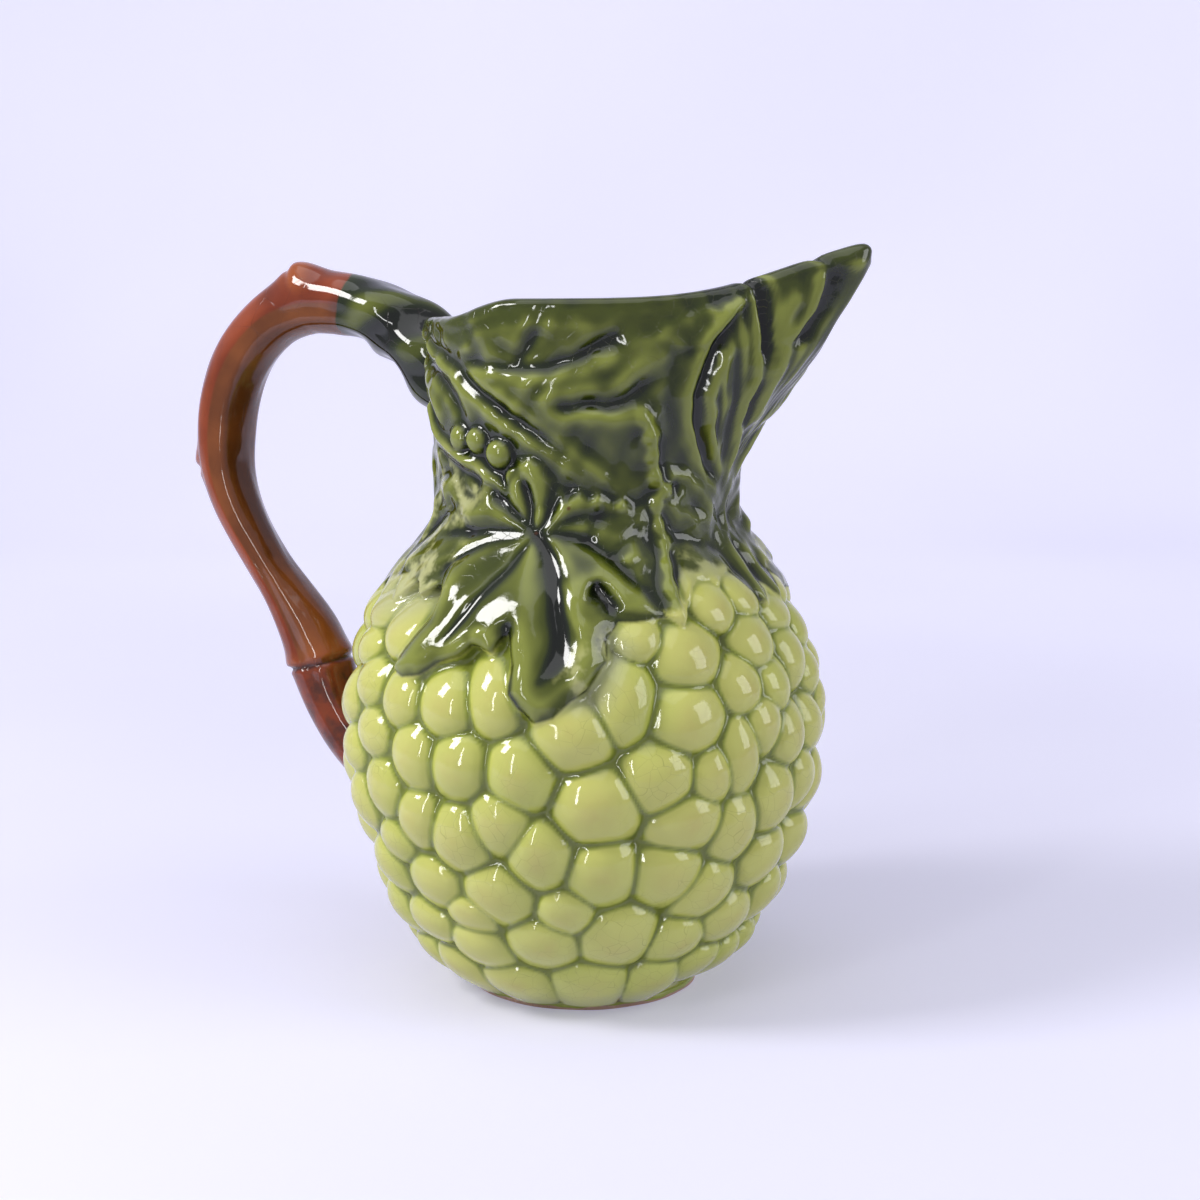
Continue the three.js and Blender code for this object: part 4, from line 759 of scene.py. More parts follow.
def grape_relief(angle, height):
    """Crowded grapes that flatten each other along narrow creases, how near each place is to its grape's
    middle, and a tint for each grape."""
    first = np.full(angle.shape, 9.0)
    second = np.full(angle.shape, 9.0)
    size = np.zeros(angle.shape)
    tint = np.zeros(angle.shape)
    radius = smooth_value(BODY_RADIUS, height)
    for n, (centre, middle, half_width, half_height) in enumerate(GRAPES):
        lean = GRAPE_LEAN * math.sin(n * LEAN_STEP)
        across = fold_angle(angle - centre) * DEG * radius / half_width
        up = (height - middle) / half_height
        share = np.sqrt(across**2 + up**2 + lean * across * up)
        nearer = share < first
        second = np.where(nearer, first, np.minimum(second, share))
        first = np.where(nearer, share, first)
        size = np.where(nearer, (half_width + half_height) / 2, size)
        tint = np.where(nearer, 0.5 + 0.5 * math.sin(n * TINT_STEP), tint)
    to_crease = np.clip((second - first) / (2 * CREASE_WIDTH), 0, 1)
    crease = CREASE_DEPTH * size * (1 - to_crease) ** CREASE_SHARPNESS
    lower = SMALL_GRAPE_DROP * np.clip(FULL_GRAPE - size, 0, None)
    relief = GRAPE_TOP - lower - GRAPE_SAG * size * first**2 - crease
    return np.maximum(relief, GRAPE_FLOOR), np.clip(1 - first, 0, 1), tint


def waviness(angle, height):
    """The slight unevenness that hands leave in soft clay."""
    relief = np.zeros(angle.shape)
    for across, up, size, shift in WAVES:
        drift = WAVE_DRIFT[0] * np.sin(height * WAVE_DRIFT[1] + shift)
        sway = WAVE_SWAY[0] * np.sin(angle * WAVE_SWAY[1] + shift)
        relief += size * np.sin(angle * across + drift) * np.cos(height * up + sway)
    return relief


def spout_streaks(angle, height):
    """Fine folds that run down the spout and fan out below it."""
    down = RIM_FRONT - height
    flow = angle * (1 + STREAK_FAN * down + 2 * (down / STREAK_FLARE) ** 4)
    return np.sin(flow * 0.8 + height * 0.03) + 0.7 * np.sin(flow * 1.7 - height * 0.07 + 2)


def soft_max(first, second, blend):
    """The higher of two surfaces, with the line where they meet filled in softly."""
    gap = np.abs(first - second) / blend
    return np.maximum(first, second) + blend * np.log1p(np.exp(-gap))


def even_rows():
    """Heights of the belly's rows, evenly spaced along its profile."""
    fine = np.linspace(BELLY_BASE, SEAM, 800)
    steps = np.hypot(np.diff(fine), np.diff(smooth_value(BODY_RADIUS, fine)))
    length = np.concatenate([[0], np.cumsum(steps)])
    return np.interp(np.linspace(0, length[-1], BELLY_ROWS + 1), length, fine)


def joint_gap(angle, height, middle, half_width, half_height):
    """Distance outside the handle's oval footprint on the body, at the back."""
    across = fold_angle(angle - 180) * DEG * smooth_value(BODY_RADIUS, height)
    share = np.hypot(across / half_width, (height - middle) / half_height)
    return (share - 1) * half_width


def handle_joints(angle, height):
    """Clay that fairs the handle into the neck and the belly."""
    clay = 0
    for joint, rise, reach in JOINT_CLAY:
        clay = clay + rise * np.exp(-np.clip(joint_gap(angle, height, *joint), 0, None) / reach)
    return clay


def brown_bleed(angle, height):
    """Brown glaze that has run from the handle's foot onto the grapes round it."""
    beside = smooth_step(*BLEED_EDGE, joint_gap(angle, height, *BROWN_RUN))
    return beside * smooth_step(*BLEED_TOP, height)


def place_points(angle, height, radius):
    across, aside = radius * np.cos(angle * DEG), radius * np.sin(angle * DEG)
    return np.stack(np.broadcast_arrays(across, aside, height), -1)


def grid_normals(points):
    """Normals of a grid that closes on itself along its columns."""
    along = np.roll(points, -1, axis=1) - np.roll(points, 1, axis=1)
    normals = np.cross(along, np.gradient(points, axis=0))
    return normals / np.maximum(np.linalg.norm(normals, axis=-1, keepdims=True), TINY)


def cell_mean(field):
    right = np.roll(field, -1, axis=1)
    return (field[:-1] + right[:-1] + field[1:] + right[1:]) / 4


class Clay:
    """Collects a piece's points, faces and the values that its glaze reads."""

    def __init__(self, fields):
        self.names = list(fields)
        self.points, self.values, self.normals = [], [], []
        self.faces, self.smooth = [], []
        self.count = 0

    def add_points(self, points, values=None, normals=None):
        points = np.asarray(points, float).reshape(-1, 3)
        first = self.count
        self.count += len(points)
        self.points.append(points)
        self.values.append(np.zeros((len(points), len(self.names))) if values is None else values)
        self.normals.append(np.zeros((len(points), 3)) if normals is None else normals)
        return first + np.arange(len(points))

    def add_faces(self, corners, smooth=True, flip=False):
        """Faces from lists of their first, second and further corners."""
        faces = np.atleast_2d(np.stack(corners, -1))
        if len(faces):
            self.faces.append(faces[:, ::-1] if flip else faces)
            self.smooth.append(np.full(len(faces), smooth))

    def add_bands(self, rings):
        """Quads between rings; the outside is on the right-hand side going up."""
        for low, high in zip(rings, rings[1:]):
            self.add_faces([low, np.roll(low, -1), np.roll(high, -1), high])

    def add_fan(self, ring, place, up, smooth=True, values=None):
        """Closes a ring with triangles round one more point."""
        middle = np.full(len(ring), self.add_points([place], values)[0])
        self.add_faces([ring, np.roll(ring, -1), middle], smooth, flip=not up)

    def add_sheet(self, index, cells, smooth=True, flip=False):
        """Quads over the chosen cells of a grid of points."""
        r, c = np.nonzero(cells)
        after = (c + 1) % index.shape[1]
        corners = [index[r, c], index[r, after], index[r + 1, after], index[r + 1, c]]
        self.add_faces(corners, smooth, flip)

    def add_walls(self, cells, tops, lows, beyond):
        """Walls round the chosen cells of two grids; beyond says which cells go on past its ends."""
        after = np.roll(cells, -1, axis=1)
        for chosen, flip in ((cells & ~after, False), (~cells & after, True)):
            r, c = np.nonzero(chosen)
            c = (c + 1) % cells.shape[1]
            self.add_faces([tops[r, c], lows[r, c], lows[r + 1, c], tops[r + 1, c]], False, flip)
        padded = np.vstack([cells[:1] & beyond, cells, cells[-1:] & beyond])
        below, above = padded[:-1], padded[1:]
        for chosen, flip in ((below & ~above, False), (~below & above, True)):
            r, c = np.nonzero(chosen)
            after = (c + 1) % cells.shape[1]
            self.add_faces([tops[r, c], tops[r, after], lows[r, after], lows[r, c]], False, flip)

    def add_edge(self, cells, tops, lows, inner, top_side):
        """Joins the first or last row of a partly sunk grid to a ring inside it."""
        outer = np.where(cells, tops, lows)
        outer_next = np.where(cells, np.roll(tops, -1), np.roll(lows, -1))
        self.add_faces([outer, outer_next, np.roll(inner, -1), inner], False, flip=not top_side)
        for c in np.nonzero(cells != np.roll(cells, 1))[0]:
            before, after = (lows[c], tops[c]) if cells[c] else (tops[c], lows[c])
            self.add_faces([before, after, inner[c]], False, flip=not top_side)

    def build(self, name):
        """The finished piece, without the points that no face uses."""
        used = np.unique(np.concatenate([block.ravel() for block in self.faces]))
        place_of = np.zeros(self.count, int)
        place_of[used] = np.arange(len(used))
        points = np.vstack(self.points)[used] * MM
        values = np.vstack(self.values)[used]
        normals = np.vstack(self.normals)[used]
        mesh = bpy.data.meshes.new(name)
        faces = [face for block in self.faces for face in place_of[block].tolist()]
        mesh.from_pydata(points.tolist(), [], faces)
        smooth = np.concatenate(self.smooth)
        mesh.polygons.foreach_set("use_smooth", smooth)
        for k, field in enumerate(self.names):
            layer = mesh.attributes.new(field, "FLOAT", "POINT")
            layer.data.foreach_set("value", values[:, k].astype(np.float32))
        corner_points = np.empty(len(mesh.loops), np.int32)
        mesh.loops.foreach_get("vertex_index", corner_points)
        totals = np.empty(len(mesh.polygons), np.int32)
        mesh.polygons.foreach_get("loop_total", totals)
        corner_normals = normals[corner_points] * np.repeat(smooth, totals)[:, None]
        mesh.normals_split_custom_set(corner_normals.tolist())
        mesh.update()
        piece = bpy.data.objects.new(name, mesh)
        bpy.context.scene.collection.objects.link(piece)
        return piece


def grid_places():
    """Angles and heights of the outside's grid, crowded at the front and ending at the rim."""
    even = np.arange(COLUMNS) * 360 / COLUMNS
    columns = fold_angle(even - FRONT_CROWDING / DEG * np.sin(even * DEG))
    belly = np.repeat(even_rows()[:, None], COLUMNS, axis=1)
    shares = np.arange(1, NECK_ROWS + 1)[:, None] / NECK_ROWS
    top = rim_height(columns)[None, :] - LIP_HEIGHT
    height = np.vstack([belly, SEAM + (top - SEAM) * shares])
    return np.repeat(columns[None, :], len(height), axis=0), height


def ribbon_share(side):
    """The scalloped ribbon beside the big leaf: 1 on its middle line, 0 away from it."""
    where = side.near(RIBBON_EDGE, RIBBON_MARGIN)
    gap, share = side.path_distance(RIBBON_EDGE, where)
    scallops = 0.5 + 0.5 * np.sin(share * 2 * math.pi * RIBBON_SCALLOPS)
    ribbon = np.zeros(side.angle.shape)
    ribbon[where] = between(RIBBON_FAINT, 1, scallops) * bell(gap, between(*RIBBON_REACH, scallops))
    return ribbon


def neck_folds(side, around, on_spout):
    """The leaves, beads and folds of the neck: soft on its sides, crisp on the spout."""
    beads = [(*BEAD, [[a, h], [a + BEAD_LENGTH, h]]) for a, h in BEADS]
    folds = side.line_relief(NECK_LINES + beads) + side.blade_relief(NECK_BLADES)
    folds += side.roof_relief(NECK_ROOFS)
    folds += around.line_relief(FRONT_LINES)
    folds *= smooth_step(0, JOINT_CLEARANCE, joint_gap(around.angle, around.height, *UPPER_JOINT))
    soft = blurred(folds, NECK_SOFTNESS / NECK_STEP, NECK_SOFTNESS / COLUMN_STEP)
    crisp = SPOUT_CRISPNESS * blurred(folds, *SPOUT_SOFTNESS)
    return between(soft, crisp, on_spout)


def add_sprig(surface, side, ground):
    """Lays the bud sprig on the surface, and says which places are on it."""
    stalk = side.gap_to(STALK, STALK_MARGIN, FAR_AWAY)
    inside_berry = np.full(stalk.shape, -FAR_AWAY)
    berries = np.full(stalk.shape, -FAR_AWAY)
    for angle, height, size in BERRIES:
        gap = side.gap_to_point(angle, height)
        inside_berry = np.maximum(inside_berry, size - gap)
        dome = np.sqrt(np.clip(size**2 - gap**2, 0, None)) * BERRY_HEIGHT - BERRY_SINK
        berries = np.where(gap < size, np.maximum(berries, dome), berries)
    moat = bell(inside_berry + BERRY_MARGIN, MOAT_REACH) + bell(stalk - STALK_MOAT, MOAT_REACH)
    raised = STALK_RISE * bell(stalk, STALK_REACH) * smooth_step(*STALK_ENDS, stalk)
    surface = surface + raised - MOAT_DEPTH * moat
    on_sprig = (stalk < STALK_HALF_WIDTH) | (inside_berry > -BERRY_MARGIN)
    return soft_max(surface, ground + berries, BERRY_BLEND), on_sprig


def leaf_blade(side, level, leaf, vein_gap, grapes):
    """The big leaf: lowered at its edge, with pillows between its veins and the grapes felt through it."""
    inward = smooth_step(0, LEAF_EDGE, leaf)
    pillow = PILLOW_RISE * (1 - bell(vein_gap, PILLOW_REACH)) * smooth_step(0, LEAF_MARGIN, leaf)
    grapes_felt = GRAPES_FELT * (blurred(grapes, 5, 5) - GRAPES_LEVEL)
    grapes_felt *= smooth_step(*FELT_HEIGHTS, side.height)
    blade = level * between(LEAF_EDGE_LEVEL, 1, inward) + LEAF_CLEARANCE + LEAF_RISE * inward
    folds = blurred(side.groove_relief(LEAF_VEINS) + side.line_relief(LEAF_FOLDS), *VEIN_SOFTNESS)
    folds += blurred(side.roof_relief(LEAF_ROOFS), *ROOF_SOFTNESS)
    folds *= smooth_step(*FOLD_EDGE, leaf)
    return blade + pillow + grapes_felt + folds + LEAF_WAVINESS * waviness(side.angle, side.height)


def painted_vein_shade(side, leaf, vein_gap):
    """Painted shade along the leaf's veins, in its lower middle groove and under its tip."""
    veins = VEIN_SHADE * bell(vein_gap, SHADE_REACH) * smooth_step(0, SHADE_MARGIN, leaf)
    groove = GROOVE_SHADE * bell(side.gap_to(LEAF_VEINS[0][2], GROOVE_MARGIN), SHADE_REACH)
    return veins + groove + TIP_SHADE * bell(side.gap_to_point(*LEAF_TIP), TIP_SHADE_REACH)


def dark_share(side, leaf, far_lobe):
    """Where the dark glaze lies: above its hem, on the big leaf and on the far lobe."""
    above_hem = blurred(smooth_step(*DARK_HEM_EDGE, side.hem_depth(DARK_HEM)), *DARK_HEM_SOFTNESS)
    return np.maximum(above_hem, smooth_step(*DARK_LEAF_EDGE, np.maximum(leaf, far_lobe)))


def mottle_and_reflection_share(side):
    """Where pale glaze shows through the dark, lightened there as a painted reflection."""
    mottle_and_reflection = smooth_step(*BACK_EDGE, side.depth_inside(MOTTLED_BACK, BACK_MARGIN))
    for outline in MOTTLED_PATCHES:
        patch = smooth_step(*PATCH_EDGE, side.depth_inside(outline, LEAF_MARGIN))
        mottle_and_reflection = np.maximum(mottle_and_reflection, PATCH_STRENGTH * patch)
    return mottle_and_reflection


def outside_surface():
    """The jug's glazed outside as a grid of places, with what the glaze needs to know of each."""
    angle, height = grid_places()
    side = Side(angle, height)
    around = Side(angle, height, folded=False)
    level = smooth_value(LEAF_LEVEL, height)
    ground = level - NECK_DROP
    below_rim = rim_height(angle) - height

    grapes, crown, tint = grape_relief(angle, height)
    grape_rows = smooth_step(*GRAPE_FADE, height)
    grapes = grapes * grape_rows

    on_spout = smooth_step(*SPOUT_SIDES, side.angle) * smooth_step(*SPOUT_HEIGHTS, height)
    streaks = spout_streaks(side.angle, height) * on_spout
    ribbon = ribbon_share(side)
    folds = neck_folds(side, around, on_spout) + waviness(side.angle, height)
    folds = folds + STREAK_RISE * streaks + RIBBON_RISE * ribbon
    neck = ground + folds * between(FOLDS_AT_RIM, 1, smooth_step(0, RIM_BAND, below_rim))
    neck -= HIDDEN_DEPTH * (1 - smooth_step(*NECK_HEM_EDGE, side.hem_depth(NECK_HEM)))
    surface = soft_max(grapes, neck, HEM_BLEND)
    far_lobe = around.depth_inside(FAR_LOBE, LEAF_MARGIN)
    lobe = ground + between(*LOBE_RISE, smooth_step(0, LEAF_EDGE, far_lobe))
    lobe -= HIDDEN_DEPTH * (1 - smooth_step(*LOBE_EDGE, far_lobe))
    surface = soft_max(surface, lobe, HEM_BLEND)
    surface, on_sprig = add_sprig(surface + handle_joints(angle, height), side, ground)

    leaf = side.depth_inside(LEAF_OUTLINE, LEAF_MARGIN)
    vein_gap = np.min([side.gap_to(path, VEIN_MARGIN) for _, _, path in LEAF_VEINS], axis=0)
    blade = leaf_blade(side, level, leaf, vein_gap, grapes)
    surface = between(surface, np.maximum(blade, surface / 2), smooth_step(*LEAF_JOIN, leaf))

    soft, middle, wide = (blurred(surface, *softness) for softness in SURFACE_SOFTNESS)
    # Hollows where the glaze pools; their darker colour is also painted shade
    pooled_and_shade = (wide - soft) / POOL_SHADE_DEPTH + np.clip((middle - soft) / FINE_DEPTH, 0, FINE_POOLED_SHADE)
    # Painted shade along the veins and under the leaf's tip is added to the shade of the hollows
    pooled_and_shade += painted_vein_shade(side, leaf, vein_gap)
    # Ridges where the glaze runs thinner; their lighter colour is also painted sheen
    thin_and_sheen = (soft - wide) / THIN_SHEEN_HEIGHT + np.clip((soft - middle) / FINE_DEPTH, 0, FINE_THIN_SHEEN)
    thin_and_sheen += NECK_THIN_SHEEN * smooth_step(*THIN_BELOW_RIM, below_rim) * smooth_step(*THIN_HEIGHTS, height)
    # The big leaf, the spout's streaks and most of all the ribbon's scallops are lighter, as thinner glaze
    # and painted sheen on their crests
    thin_and_sheen += BLADE_THIN_SHEEN * smooth_step(0, 4, leaf) + STREAK_THIN_SHEEN * streaks + RIBBON_THIN_SHEEN * ribbon
    brown_dot = MIDDLE_BROWN * bell(side.gap_to_point(*LEAF_MIDDLE), MIDDLE_REACH)
    return {
        "angle": angle,
        "height": height,
        "radius": body_radius(angle, height) + soft,
        "leaf": leaf,
        "sprig": on_sprig & (leaf < 0),
        "fields": {
            "pooling_and_shade": np.clip(pooled_and_shade, 0, 1),
            "thinness_and_sheen": np.clip(thin_and_sheen, 0, 1),
            "dark_glaze": dark_share(side, leaf, far_lobe),
            "mottle_and_reflection": mottle_and_reflection_share(side),
            "crown": blurred(crown * grape_rows, 1, 1),
            "tint": tint,
            "brown_glaze": brown_bleed(angle, height) + brown_dot,
        },
    }


class Jug:
    """The glazed outside, divided into its pieces."""

    def __init__(self):
        self.grid = outside_surface()
        angle, height, radius = (self.grid[name] for name in ("angle", "height", "radius"))
        self.rows = len(angle)
        self.points = place_points(angle, height, radius)
        self.normals = grid_normals(self.points)
        self.values = np.stack(list(self.grid["fields"].values()), -1)
        self.leaf_cells = cell_mean(self.grid["leaf"]) > 0
        self.sprig_cells = (cell_mean(self.grid["sprig"].astype(float)) > 0.5) & ~self.leaf_cells
        self.far_cells = angle[:-1] + 180 / COLUMNS > 0

    def lay_grid(self, first, last, depth):
        """Some rows of the grid at the surface and again at a depth under it."""
        rows = slice(first, last)
        clay = Clay(self.grid["fields"])
        values = self.values[rows].reshape(-1, self.values.shape[-1])
        tops = clay.add_points(self.points[rows], values, self.normals[rows].reshape(-1, 3))
        radius = self.grid["radius"][rows] - depth
        sunk = place_points(self.grid["angle"][rows], self.grid["height"][rows], radius)
        lows = clay.add_points(sunk, values)
        return clay, tops.reshape(-1, COLUMNS), lows.reshape(-1, COLUMNS)

    def lay_body(self, first, last):
        """The outside of the belly or the neck, sunk where a leaf or a sprig lies on it."""
        clay, tops, lows = self.lay_grid(first, last, LEAF_DEPTH + JOINT_GAP)
        cells = ~(self.leaf_cells | self.sprig_cells)[first : last - 1]
        clay.add_sheet(tops, cells)
        clay.add_sheet(lows, ~cells, smooth=False)
        clay.add_walls(cells, tops, lows, beyond=True)
        return clay, cells, tops, lows

    def make_belly(self):
        clay, cells, tops, lows = self.lay_body(0, BELLY_ROWS + 1)
        columns = self.grid["angle"][0]
        floor_radius = smooth_value(BODY_RADIUS, FLOOR_TURN) - WALL
        heights = np.linspace(SEAM, FLOOR_TURN, BELLY_INNER_ROWS)
        inside = list(zip(heights, smooth_value(BODY_RADIUS, heights) - WALL))
        inside += [(FLOOR_TURN - drop, floor_radius * share) for share, drop in FLOOR_ROUNDING]
        rings = [clay.add_points(place_points(columns, h, radius)) for h, radius in inside]
        clay.add_edge(cells[-1], tops[-1], lows[-1], rings[0], True)
        clay.add_bands(rings)
        clay.add_fan(rings[-1], (0, 0, FLOOR_HEIGHT), True)
        clay.add_fan(tops[0], (0, 0, BELLY_BASE), False, smooth=False)
        return clay.build("belly_of_grapes")

    def make_neck(self):
        clay, cells, tops, lows = self.lay_body(BELLY_ROWS, self.rows)
        columns, base, outer = (self.grid[name][-1] for name in ("angle", "height", "radius"))
        inner = body_radius(columns, base) - radial_wall(columns, base)
        middle, half = (outer + inner) / 2, (outer - inner) / 2
        values = self.values[-1]
        rings = [tops[-1]]
        for turn in np.linspace(0, math.pi, LIP_ROWS + 1)[1:]:
            points = place_points(columns, base + LIP_HEIGHT * math.sin(turn), middle + half * math.cos(turn))
            rings.append(clay.add_points(points, values))
        for n in range(1, NECK_INNER_ROWS + 1):
            height = base + (SEAM - base) * n / NECK_INNER_ROWS
            radius = body_radius(columns, height) - radial_wall(columns, height)
            points = place_points(columns, height, radius)
            rings.append(clay.add_points(points, values * smooth_step(9, 0, n)))
        clay.add_bands(rings)
        clay.add_edge(cells[0], tops[0], lows[0], rings[-1], False)
        return clay.build("leafy_neck_and_spout")

    def make_applied(self, name, cells):
        """An applied piece of the outside, with its own back."""
        clay, tops, lows = self.lay_grid(0, self.rows, LEAF_DEPTH)
        clay.add_sheet(tops, cells)
        clay.add_sheet(lows, cells, smooth=False, flip=True)
        clay.add_walls(cells, tops, lows, beyond=False)
        return clay.build(name)


def path_length(points):
    """Distance from the start of a path to each of its points."""
    return np.concatenate([[0], np.cumsum(np.hypot(*np.diff(points, axis=0).T))])


def handle_curve(count):
    """Points, directions and the length of the handle's centre line, evenly spaced."""
    path = np.array(HANDLE_PATH, float)
    places = path_length(path)
    fine = np.linspace(0, places[-1], 2400)
    line = np.stack([smooth_value(np.stack([places, path[:, k]], -1), fine) for k in (0, 1)], -1)
    lengths = path_length(line)
    even = np.linspace(0, lengths[-1], count)
    points = np.stack([np.interp(even, lengths, line[:, k]) for k in (0, 1)], -1)
    ahead = np.gradient(points, axis=0)
    ahead /= np.linalg.norm(ahead, axis=1, keepdims=True)
    return points, ahead, lengths[-1]


def in_wall_radius(points):
    """Radius of the surface inside the pot's wall at the points' angle and height."""
    angle = np.degrees(np.arctan2(points[..., 1], points[..., 0]))
    return body_radius(angle, np.clip(points[..., 2], 0, RIM_BACK)) - END_DEPTH


def end_in_walls(surface, values):
    """Cuts both ends of the branch where they are inside the neck's wall and the belly's wall."""
    outside = np.hypot(surface[..., 0], surface[..., 1]) > in_wall_radius(surface)
    rows = len(surface)
    first = np.argmax(outside, axis=0)
    last = rows - 1 - np.argmax(outside[::-1], axis=0)
    place = first + (last - first) * np.linspace(0, 1, rows)[:, None]
    below = np.clip(place.astype(int), 0, rows - 2)
    share = (place - below)[..., None]
    column = np.arange(surface.shape[1])[None, :]
    both = np.concatenate([surface, values], -1)
    both = both[below, column] * (1 - share) + both[below + 1, column] * share
    return both[..., :3], both[..., 3:]


def handle_swell(share, along, turn):
    """One-sided knots, bark grooves and the web in the handle's bend."""
    cos, sin = np.cos(turn), np.sin(turn)
    swell = np.zeros(np.broadcast_shapes(share.shape, turn.shape))
    length = along[-1]
    for at, rise, reach, depth, cut, inner, lean, facing in HANDLE_KNOTS:
        gap = along - at * length - lean * (cos - 1)
        bulge = rise * np.exp(-np.abs(gap / reach) ** 1.6)
        swell += (bulge - depth * bell(gap - 2, cut)) * (inner + (1 - inner) * smooth_step(facing, 1, cos))
    for wave, size, drift in BARK_WAVES:
        swell += size * np.sin(turn * wave + 1.8 * np.sin(along / drift) + drift)
    swell += 0.3 * np.sin(along / 15 + 1.3 * sin)
    lumps = 1.3 * np.sin(turn * 3 + along / 7) * np.cos(along / 6) + 0.8 * np.sin(along / 4 + 2 * sin)
    swell += leafy_share(share) * lumps
    in_bend = smooth_step(*WEB_START, share) * smooth_step(*WEB_END, share)
    return swell + HANDLE_WEB * in_bend * smooth_step(0, 1, -cos)


def leafy_share(share):
    """1 at the handle's upper end, where small leaves cover it."""
    return smooth_step(*LEAFY_END, share)


def make_handle():
    """The branch: round outside, flatter inside."""
    points, ahead, length = handle_curve(HANDLE_ROWS + 1)
    outward = np.stack([ahead[:, 1], -ahead[:, 0]], -1)
    share = np.linspace(0, 1, HANDLE_ROWS + 1)[:, None]
    degrees = fold_angle(np.arange(HANDLE_COLUMNS) * 360 / HANDLE_COLUMNS)[None, :]
    turn = degrees * DEG
    swell = handle_swell(share, share * length, turn)
    section = smooth_value(HANDLE_SECTION, np.abs(degrees))
    outwards = (smooth_value(HANDLE_DEPTH, share) * section + swell) * np.cos(turn)
    x = points[:, :1] + outward[:, :1] * outwards
    y = (smooth_value(HANDLE_HALF_WIDTH, share) * section + swell * 0.7) * np.sin(turn)
    z = points[:, 1:] + outward[:, 1:] * outwards
    wide = blurred(swell, *HANDLE_SOFTNESS)
    leafy = leafy_share(share)
    ragged = x + GREEN_RAGGED * np.sin(turn * 2)
    fields = {
        "outer_face": smooth_step(*OUTER_FACE, np.abs(degrees)) * np.ones_like(swell),
        "green_end": smooth_step(*GREEN_END, ragged) * (share < GREEN_LIMIT),
        # Bark grooves where the glaze pools, also painted shade there, and a darker leafy end
        "pooling_and_shade": np.clip((wide - swell) / BARK_DEPTH + LEAFY_POOLING * leafy, 0, 1),
        # Bark ridges where the glaze runs thinner, also painted sheen there
        "thinness_and_sheen": np.clip((swell - wide) / BARK_DEPTH, 0, 1) * (1 - LEAFY_COVER * leafy),
        "lower_end": smooth_step(*LOWER_END, share) * np.ones_like(swell),
    }
    clay = Clay(fields)
    surface, values = end_in_walls(np.stack([x, y, z], -1), np.stack(list(fields.values()), -1))
    rings = [clay.add_points(ring, ring_values) for ring, ring_values in zip(surface, values)]
    clay.add_bands(rings)
    for n in (0, -1):
        middle = surface[n].mean(axis=0)
        middle[:2] *= in_wall_radius(middle) / np.hypot(*middle[:2])
        clay.add_fan(rings[n], middle, n == -1, values=values[n][:1])
    return clay.build("vine_branch_handle")


def make_foot():
    """The flat foot: bare clay below, with the glaze's ragged edge coming down its side."""
    clay = Clay(["glazed"])
    turn = np.arange(FOOT_COLUMNS) * 2 * math.pi / FOOT_COLUMNS
    ragged = 0.21 * np.sin(turn * 7 + 1) + 0.15 * np.sin(turn * 17) + 0.09 * np.sin(turn * 41 + 2)
    rings = []
    for radius, height, glazed in FOOT_PROFILE:
        uneven = radius + 0.12 * np.sin(turn * 11 + height) - 0.12
        ring_height = height + (ragged if height in GLAZE_EDGE else 0)
        ring = place_points(turn / DEG, ring_height, uneven)
        rings.append(clay.add_points(ring, np.full((len(turn), 1), float(glazed))))
    clay.add_bands(rings)
    clay.add_fan(rings[0], (0, 0, 0), False)
    clay.add_fan(rings[-1], (0, 0, FOOT_PROFILE[-1][1]), True)
    return clay.build("foot_with_bare_base")


def linear(code):
    """Linear colour from a screen colour code."""
    parts = [(code >> shift & 255) / 255 for shift in (16, 8, 0)]
    return tuple(p / 12.92 if p <= 0.04045 else ((p + 0.055) / 1.055) ** 2.4 for p in parts) + (1,)


